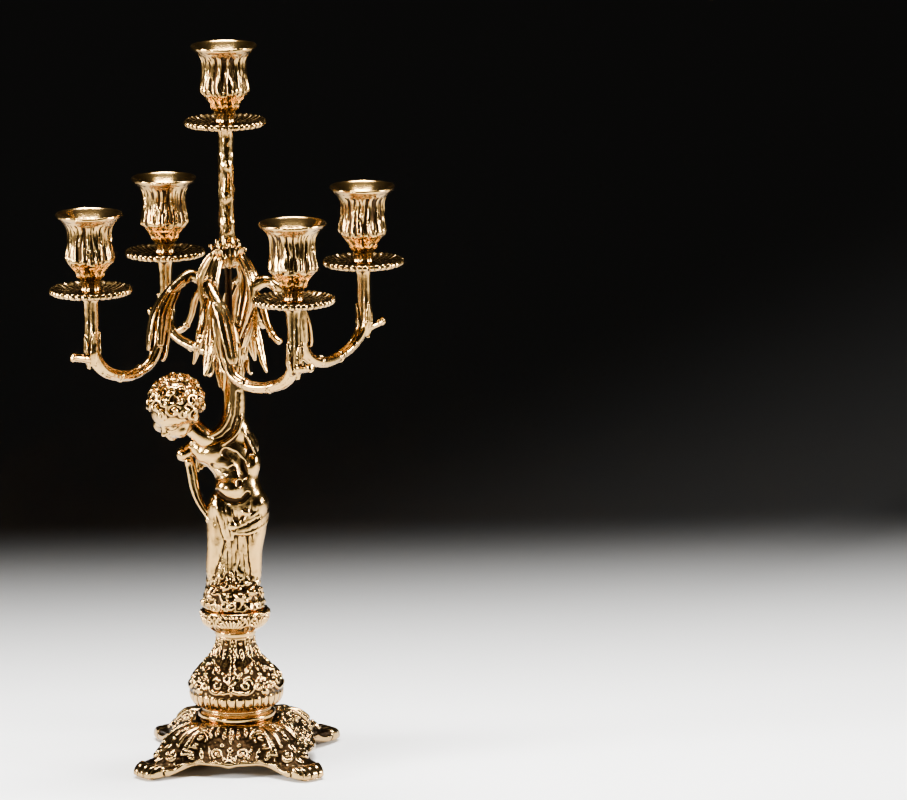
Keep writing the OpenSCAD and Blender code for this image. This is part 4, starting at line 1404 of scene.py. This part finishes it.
def make_upper_hub():
    h, z0 = UPPER_HUB_H, UPPER_HUB_Z
    side = [[5.0, 0], [8.2, 0.2 * h], [9.6, 0.42 * h], [9.2, 0.62 * h], [7.0, 0.84 * h], [5.7, h - 0.05]]
    core, p, a = hub_core("crown_core", side, h - 0.05, 0.45, 160, z0)
    up = p[:, 2] - z0
    n = folded(a, 8, GAP_TURN) * 8.5
    amount = ridge(n, up, [(0, 0), (0, 14)], 2.0, 0.9)
    carve(core, amount + 0.3 * lumps(p, 1.6, 83) - 0.4)
    leaves = round_leaf(4, GAP_TURN, z0, [(5.6, 15, 1.6, 1.0), (8.0, 12.5, 3.2, 1.2),
        (9.8, 8.5, 3.4, 1.2), (10.2, 4.5, 1.9, 1.0), (10.1, 1.6, 0.5, 0.6)], edge=0.12)
    leaves += round_leaf(4, GAP_TURN + TURN / 8, z0, [(6.0, 6, 2.4, 1.2), (9.4, 9.5, 3.3, 1.2),
        (11.0, 12.6, 2.6, 1.0), (13.2, 12.8, 1.3, 0.8), (13.8, 11.2, 0.6, 0.6)])
    leaves += round_leaf(8, GAP_TURN + TURN / 16, z0, [(6.2, 7, 1.5, 0.9), (6.8, 13, 1.7, 0.9),
        (7.2, 17, 0.6, 0.6)], edge=0.12)
    finish_hub("upper_hub_crown", "upper_hub", [core] + leaves, 0.34, 84)


def make_stem():
    h = STEM_H
    side = curve([[6.0, 0.03], [5.5, 3], [5.0, 0.1 * h], [4.8, 0.3 * h], [4.6, 0.6 * h], [4.7, 0.9 * h],
        [5.3, 0.97 * h], [6.4, h - 0.03]], 12)
    obj = spun("bark_stem", np.vstack([[[0, 0.03]], even(side, 0.42), [[0, h - 0.03]]]), 110)
    p = places(obj)
    a, r, z = around_column(p)
    up = z / h
    swayed = a + 0.5 * grain(a, up, 5, 7, 91)
    bark = 0.42 * (smooth_step(-0.3, 0.3, grain(swayed, up, 12, 6, 92)) - 0.7) + 0.16 * grain(swayed, up,
        26, 26, 93)
    knots = np.zeros_like(a)
    for height, way, size in (
        (54.0, 2.6, 1.5), (49.0, -1.2, 1.0), (29.0, -1.7, 1.2),
        (33.5, 0.6, 1.3), (13.0, -2.6, 1.0), (64.0, 1.2, 1.0),
    ):
        off = (a - way + math.pi) % TURN - math.pi
        far = np.hypot(off * 5, (z - height) / 1.3)
        knots = np.maximum(knots,
            size * np.exp(-((far / 2.1) ** 2)) - 0.5 * size * np.exp(-((far / 0.8) ** 2)))
        knots = knots + 0.25 * np.exp(-(((z - height) / 2.2) ** 2))
    ends = smooth_step(0, 1.5, z) * (1 - smooth_step(h - 1.5, h, z))
    carve(obj, np.where(r > 3.5, (bark + knots) * ends, 0))
    seat_at(obj, STEM_Z, h)
    mark_hollow_shade(obj, 8, 0.2)
    gilt(obj, "stem")


def make_cage():
    make_lower_hub()
    make_upper_hub()
    make_stem()
    low, high = span("cage_rod")
    rod_piece = turned_rod("cage_rod_turned", CAGE_ROD_R, low[2], high[2])
    mark_hollow_shade(rod_piece, 3)
    # painted shade: the rod inside the cage takes the darker copy of the gilt brass
    shaded_gilt(rod_piece, "cage_rod")


# ---------------------------------------------------------------- arms
# Drawn in an arm's own frame: +x points to its socket, and its cage rib stands to one side.


def on_rib(r, z, wide, deep=None):
    """A path point at radius r in the plane of the cage rib."""
    return (r * math.cos(RIB_SWING), r * math.sin(RIB_SWING), z, wide, wide if deep is None else deep)


def arm_casting():
    across_rib = (-math.sin(RIB_SWING), math.cos(RIB_SWING), 0)
    pan = ARM_PAN_Z
    line = [
        (9.9, -16.9, 304, 4.2), (15.7, -20.6, 307, 3.7), (23.2, -21.4, 302.9, 3.6),
        (32.4, -21.3, 294.7, 3.8), (37.0, -20.8, 283.8, 4.3), (38.3, -20.4, 272.9, 4.3),
        (40.8, -19.8, 262.5, 4.1), (47.4, -18.4, 253.8, 3.6), (62.4, -11.6, 250, 3.3),
        (80.0, -3.2, 254.4, 3.5), (90.0, -0.4, 263.1, 4.1), (REACH, 0, 274.5, 4.4), (REACH, 0, 291, 4.3),
        (REACH, 0, pan - 3.2, 4.9), (REACH, 0, pan - 1.2, 6.2),
    ]

    def reeds(a, t):
        twist = 0.4 * np.sin(5 * t)
        strength = 0.03 + 0.15 * smooth_step(0.12, 0.3, t)
        return 1 - strength + 1.2 * strength * np.abs(np.cos(2 * (a + twist))) ** 0.6

    parts = [
        skin("arm_tube", swept(even_path(line, 0.55), (0.2, 1, 0), 40, reeds)),
        ball("arm_seat", (REACH, 0, pan - 0.9), (6.6, 6.6, 0.86)),
    ]
    # collar knot, and the acanthus that wraps the descending stretch
    for spot, r in (((17.6, -21.2, 306.0), 4.3), ((19.6, -21.4, 303.6), 4.5)):
        parts.append(ball("arm_knot", spot, (r, r, 1.5), (0.2, math.radians(58), 0)))
    flat, standing = (0.2, 1, 0), (1, 0, -0.8)
    wraps = [
        (flat, [
            (31, -21.4, 300.0, 2.6, 1.0), (37.5, -21.2, 293.0, 4.6, 1.4), (42.4, -20.9, 284.0, 5.2, 1.6),
            (45.0, -20.4, 275.0, 5.0, 1.6), (46.2, -19.8, 267.5, 3.9, 1.7), (46.2, -19.4, 263.5, 2.6, 1.5),
        ]),
        (flat, [
            (24, -21.0, 298.0, 2.4, 1.0), (29.5, -20.8, 289.0, 4.6, 1.4), (32.4, -20.4, 279.0, 5.2, 1.6),
            (33.4, -20.0, 269.0, 4.8, 1.7), (35.0, -19.6, 260.0, 3.7, 1.7), (37.0, -19.2, 255.8, 2.5, 1.5),
        ]),
        (standing, [
            (30, -25.2, 298.0, 2.0, 1.0), (36, -25.4, 287.0, 3.8, 1.3), (38.4, -25.0, 275.5, 3.6, 1.3),
            (39.8, -24.2, 266.0, 2.2, 1.2),
        ]),
        (standing, [
            (30, -17.4, 298.0, 2.0, 1.0), (36, -16.6, 287.0, 3.8, 1.3), (38.4, -16.2, 275.5, 3.6, 1.3),
            (39.8, -15.8, 266.0, 2.2, 1.2),
        ]),
    ]
    for across, path in wraps:
        parts.append(blade("arm_acanthus", path, across, 2, 0.1, 30))
    # leaves at the foot of the shaft, and the cut twig
    for k, way in enumerate((math.pi, math.pi * 0.45, -math.pi * 0.45, 0.2)):
        c, s = math.cos(way), math.sin(way)
        parts.append(blade("shaft_leaf", [(REACH + 2.6 * c, 2.6 * s, 262.5 - 2.5 * c, 1.8, 0.9),
            (REACH + 4.6 * c, 4.6 * s, 269.5, 2.5, 1.1), (REACH + 4.8 * c, 4.8 * s, 276.5, 1.9, 0.9),
            (REACH + 5.4 * c, 5.4 * s, 282.0 - 2 * (k == 3), 0.7, 0.6)], (-s, c, 0), 3, 0.15, 20))
    parts.append(rod("twig", [(90.6, -0.8, 264.4, 3.3), (97.0, 1.2, 266.0, 2.7), (103, 2.6, 267.4, 2.5),
        (108.4, 4, 268.7, 2.5)], (0, 1, 0), 18, share=0.25))
    parts.append(ball("twig_end", (107.6, 3.8, 268.5), (1.2, 2.9, 2.9)))
    for spot, size in (((72.0, -7.0, 251.2), 3.9), ((55.0, -15.2, 251.4), 4.0)):
        parts.append(ball("arm_node", spot, (1.3, size, size), (0, 0, 0.5)))
    # cage rib: two strands and a leaf along the outside
    for shift in (-1.9, 1.9):
        sx, sy = across_rib[0] * shift, across_rib[1] * shift
        strand = [on_rib(5, 321.5, 1.8), on_rib(12, 317.6, 2.2, 2.1), on_rib(18.2, 305.5, 2.5, 2.2),
            on_rib(18.4, 294, 2.4, 2.1), on_rib(14.2, 282, 1.9, 1.8), on_rib(8.6, 270, 1.9, 1.7)]
        spread = [0.6, 0.9, 1.35, 1.2, 0.95, 0.8]
        strand = [(p[0] + sx * w, p[1] + sy * w) + p[2:] for p, w in zip(strand, spread)]
        parts.append(rod("rib_strand", strand, across_rib, 18))
    parts.append(blade("rib_leaf", [on_rib(7.5, 323.5, 1.8, 1.1), on_rib(13.4, 319.8, 3.6, 1.4),
        on_rib(19.6, 309.5, 4.6, 1.5), on_rib(20.6, 298.0, 3.6, 1.3), on_rib(19.0, 288.0, 1.4, 0.9)],
        across_rib, 2, 0.08, 26))
    parts.append(blade("rib_foot_leaf", [on_rib(8.4, 262.0, 2.2, 1.2), on_rib(12.6, 268.0, 3.8, 1.4),
        on_rib(15.6, 276.5, 3.6, 1.3), on_rib(18.4, 284.0, 2.0, 1.0), on_rib(21.0, 286.0, 1.0, 0.9)],
        across_rib, 2, 0.1, 26))
    # hanging leaf with a scroll and a curled tip
    drop = [on_rib(19.6, 302, 1.7), on_rib(19.8, 289.5, 1.7, 1.6), on_rib(20.4, 278, 2.9, 1.8),
        on_rib(22.4, 268, 4.2, 1.9), on_rib(24.2, 260, 3.6, 1.7), on_rib(26.0, 254.0, 2.2, 1.3),
        on_rib(27.4, 250.6, 1.1, 1.0)]
    parts.append(blade("drop_leaf", drop, across_rib, 2, 0.12, 28))
    c, s = math.cos(RIB_SWING), math.sin(RIB_SWING)
    for side in (-1, 1):
        path = []
        for off, rise in scroll((0, 0), 3.3, 1.0, 90, 420 * side, 16):
            x = 21.6 * c + across_rib[0] * (2.6 * side + off) * 0.9
            y = 21.6 * s + across_rib[1] * (2.6 * side + off) * 0.9
            path.append((x, y, 270.5 + rise, 1.05))
        parts.append(rod("drop_scroll", path, (c, s, 0), 10, gap=0.8))
    # side shoot with a rounded bud
    parts.append(rod("side_shoot", [on_rib(20.0, 300, 2.4, 2.0), on_rib(25.2, 292, 2.6, 2.2),
        on_rib(28.6, 281, 2.3, 2.0), on_rib(33.0, 273.4, 2.2, 2.0), on_rib(37.6, 270.4, 2.4, 2.2)],
        across_rib, 18))
    parts.append(ball("bud_collar", on_rib(32.0, 274.6, 0)[:3], (2.6, 2.6, 1.5),
        (0, math.radians(-40), RIB_SWING)))
    arm = fuse("arm_casting", parts, 0.42, 2)
    p = places(arm)
    bark = 0.14 * lumps(p * [1, 1, 0.35], 1.8, 101) * smooth_step(40, 60, p[:, 0])
    carve(arm, bark + 0.07 * lumps(p, 2.4, 102))
    p = places(arm)
    p[:, 2] = np.minimum(p[:, 2], np.where(p[:, 0] > 70, ARM_PAN_Z - 0.05, 1e3))
    put(arm, p)
    mark_hollow_shade(arm, 9, 0.26)
    return arm


def make_arms():
    first = arm_casting()
    for k in range(ARM_COUNT):
        gilt(copied(first, f"scroll_arm_{k + 1}", arm_place(k)), f"arm_{k + 1}")
    bpy.data.objects.remove(first)


# ---------------------------------------------------------------- rods and fasteners in their places


def make_fasteners():
    for node in ("tie_rod", "figure_stud"):
        low, high = span(node)
        steel(turned_rod(f"{node}_turned", high[0], low[2], high[2]), node)
    low, high = span("stud_top")
    first = turned_rod("stud_turned", high[0], -STUD_DEPTH, high[2] - low[2] - STUD_DEPTH)
    steel(copied(first, "stud_top_turned", lifted(TOP_PAN_Z)), "stud_top")
    for k in range(ARM_COUNT):
        steel(copied(first, f"stud_{k + 1}_turned", pan_place(k)), f"stud_{k + 1}")
    bpy.data.objects.remove(first)
    make_washer()
    make_nut()


def make_washer():
    low, high = span("base_washer")
    r = high[0]
    outline = [[TIE_HOLE_R, low[2]], [r - 0.3, low[2]], [r, low[2] + 0.3], [r, high[2] - 0.3],
        [r - 0.3, high[2]], [TIE_HOLE_R, high[2]]]
    washer = spun("washer_turned", outline, 96)
    crisp(washer, 30)
    steel(washer, "base_washer")


def make_nut():
    """Hexagon nut: a bevelled six-sided block with the rod's hole bored through."""
    low, high = span("base_nut")
    r = max(high[0], high[1])
    pick_none()
    bpy.ops.mesh.primitive_cylinder_add(vertices=6, radius=r * MM, depth=(high[2] - low[2]) * MM,
        rotation=(0, 0, math.radians(30)), location=(0, 0, (low[2] + high[2]) / 2 * MM))
    nut = bpy.context.view_layer.objects.active
    nut.name = "nut_cut"
    bpy.ops.object.transform_apply(location=True, rotation=True)
    bevel = nut.modifiers.new("edges", "BEVEL")
    bevel.width = 0.35 * MM
    bevel.segments = 2
    bpy.ops.object.modifier_apply(modifier="edges")
    pick_none()
    bpy.ops.mesh.primitive_cylinder_add(vertices=48, radius=3.05 * MM, depth=20 * MM,
        location=(0, 0, (low[2] + high[2]) / 2 * MM))
    drill = bpy.context.view_layer.objects.active
    pick(nut)
    bore = nut.modifiers.new("bore", "BOOLEAN")
    bore.object = drill
    bore.operation = "DIFFERENCE"
    bore.solver = "EXACT"
    bpy.ops.object.modifier_apply(modifier="bore")
    bpy.data.objects.remove(drill)
    crisp(nut, 30)
    steel(nut, "base_nut")


# ---------------------------------------------------------------- floor, lights and camera


def make_floor():
    pick_none()
    bpy.ops.mesh.primitive_grid_add(x_subdivisions=12, y_subdivisions=12, size=60, location=(0, 0, 0))
    floor = bpy.context.view_layer.objects.active
    floor.name = "pale_floor"
    floor.data.materials.append(floor_paint())


def soft_light(name, place, aim, size, power, spread=180, colour=(1, 1, 1)):
    data = bpy.data.lights.new(name, "AREA")
    data.shape = "RECTANGLE"
    data.size, data.size_y = size
    data.energy = power
    data.spread = math.radians(spread)
    data.color = colour
    light = bpy.data.objects.new(name, data)
    way = (Vector(aim) - Vector(place)).to_track_quat("-Z", "Y").to_matrix().to_4x4()
    light.matrix_world = Matrix.Rotation(FIGURE_TURN, 4, "Z") @ Matrix.Translation(place) @ way
    bpy.context.scene.collection.objects.link(light)
    return light


def make_lights():
    soft_light("left_box", (-1.3, -0.3, 0.75), (0, -0.05, 0.42), (0.4, 0.8), 5.5, 28)
    soft_light("right_box", (1.35, -0.25, 0.75), (0, -0.05, 0.42), (0.3, 0.8), 4.5, 28)
    soft_light("top_box", (0.1, 0.02, 1.5), (0.1, -0.12, 0), (3.0, 0.3), 46, 50)
    soft_light("front_left_box", (-1.1, -1.45, 0.5), (0, 0, 0.52), (0.14, 0.6), 1.5, 24)
    world = bpy.data.worlds.new("studio")
    world.use_nodes = True
    world.node_tree.nodes["Background"].inputs["Color"].default_value = (1.0, 0.97, 0.93, 1)
    world.node_tree.nodes["Background"].inputs["Strength"].default_value = 0.006
    bpy.context.scene.world = world


def make_camera():
    away, up_angle = 4.512, math.radians(11.66)
    place = Vector((0, -away * math.cos(up_angle), 0.227 + away * math.sin(up_angle)))
    ahead = Vector((0, math.cos(up_angle), -math.sin(up_angle)))
    right = Vector((1, 0, 0))
    up = right.cross(ahead)
    pan = Matrix.Rotation(math.radians(-1.758), 3, up)
    ahead, right = pan @ ahead, pan @ right
    roll = Matrix.Rotation(math.radians(1.153), 3, ahead)
    right, up = roll @ right, roll @ up
    turn = Matrix.Rotation(FIGURE_TURN, 3, "Z")
    place, ahead, right, up = turn @ place, turn @ ahead, turn @ right, turn @ up
    data = bpy.data.cameras.new("camera")
    data.sensor_width = 36
    data.lens = 288.08
    data.clip_start, data.clip_end = 0.1, 200
    camera = bpy.data.objects.new("camera", data)
    frame_axes = Matrix((right, up, -ahead)).transposed().to_4x4()
    camera.matrix_world = Matrix.Translation(place) @ frame_axes
    bpy.context.scene.collection.objects.link(camera)
    bpy.context.scene.camera = camera


# ---------------------------------------------------------------- the whole candelabra


def main():
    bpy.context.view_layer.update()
    make_sockets_and_pans()
    make_foot_ring()
    make_neck_ring()
    make_bulb()
    make_collar()
    make_base()
    make_figure()
    make_cage()
    make_arms()
    make_fasteners()
    make_floor()
    make_lights()
    make_camera()


main()
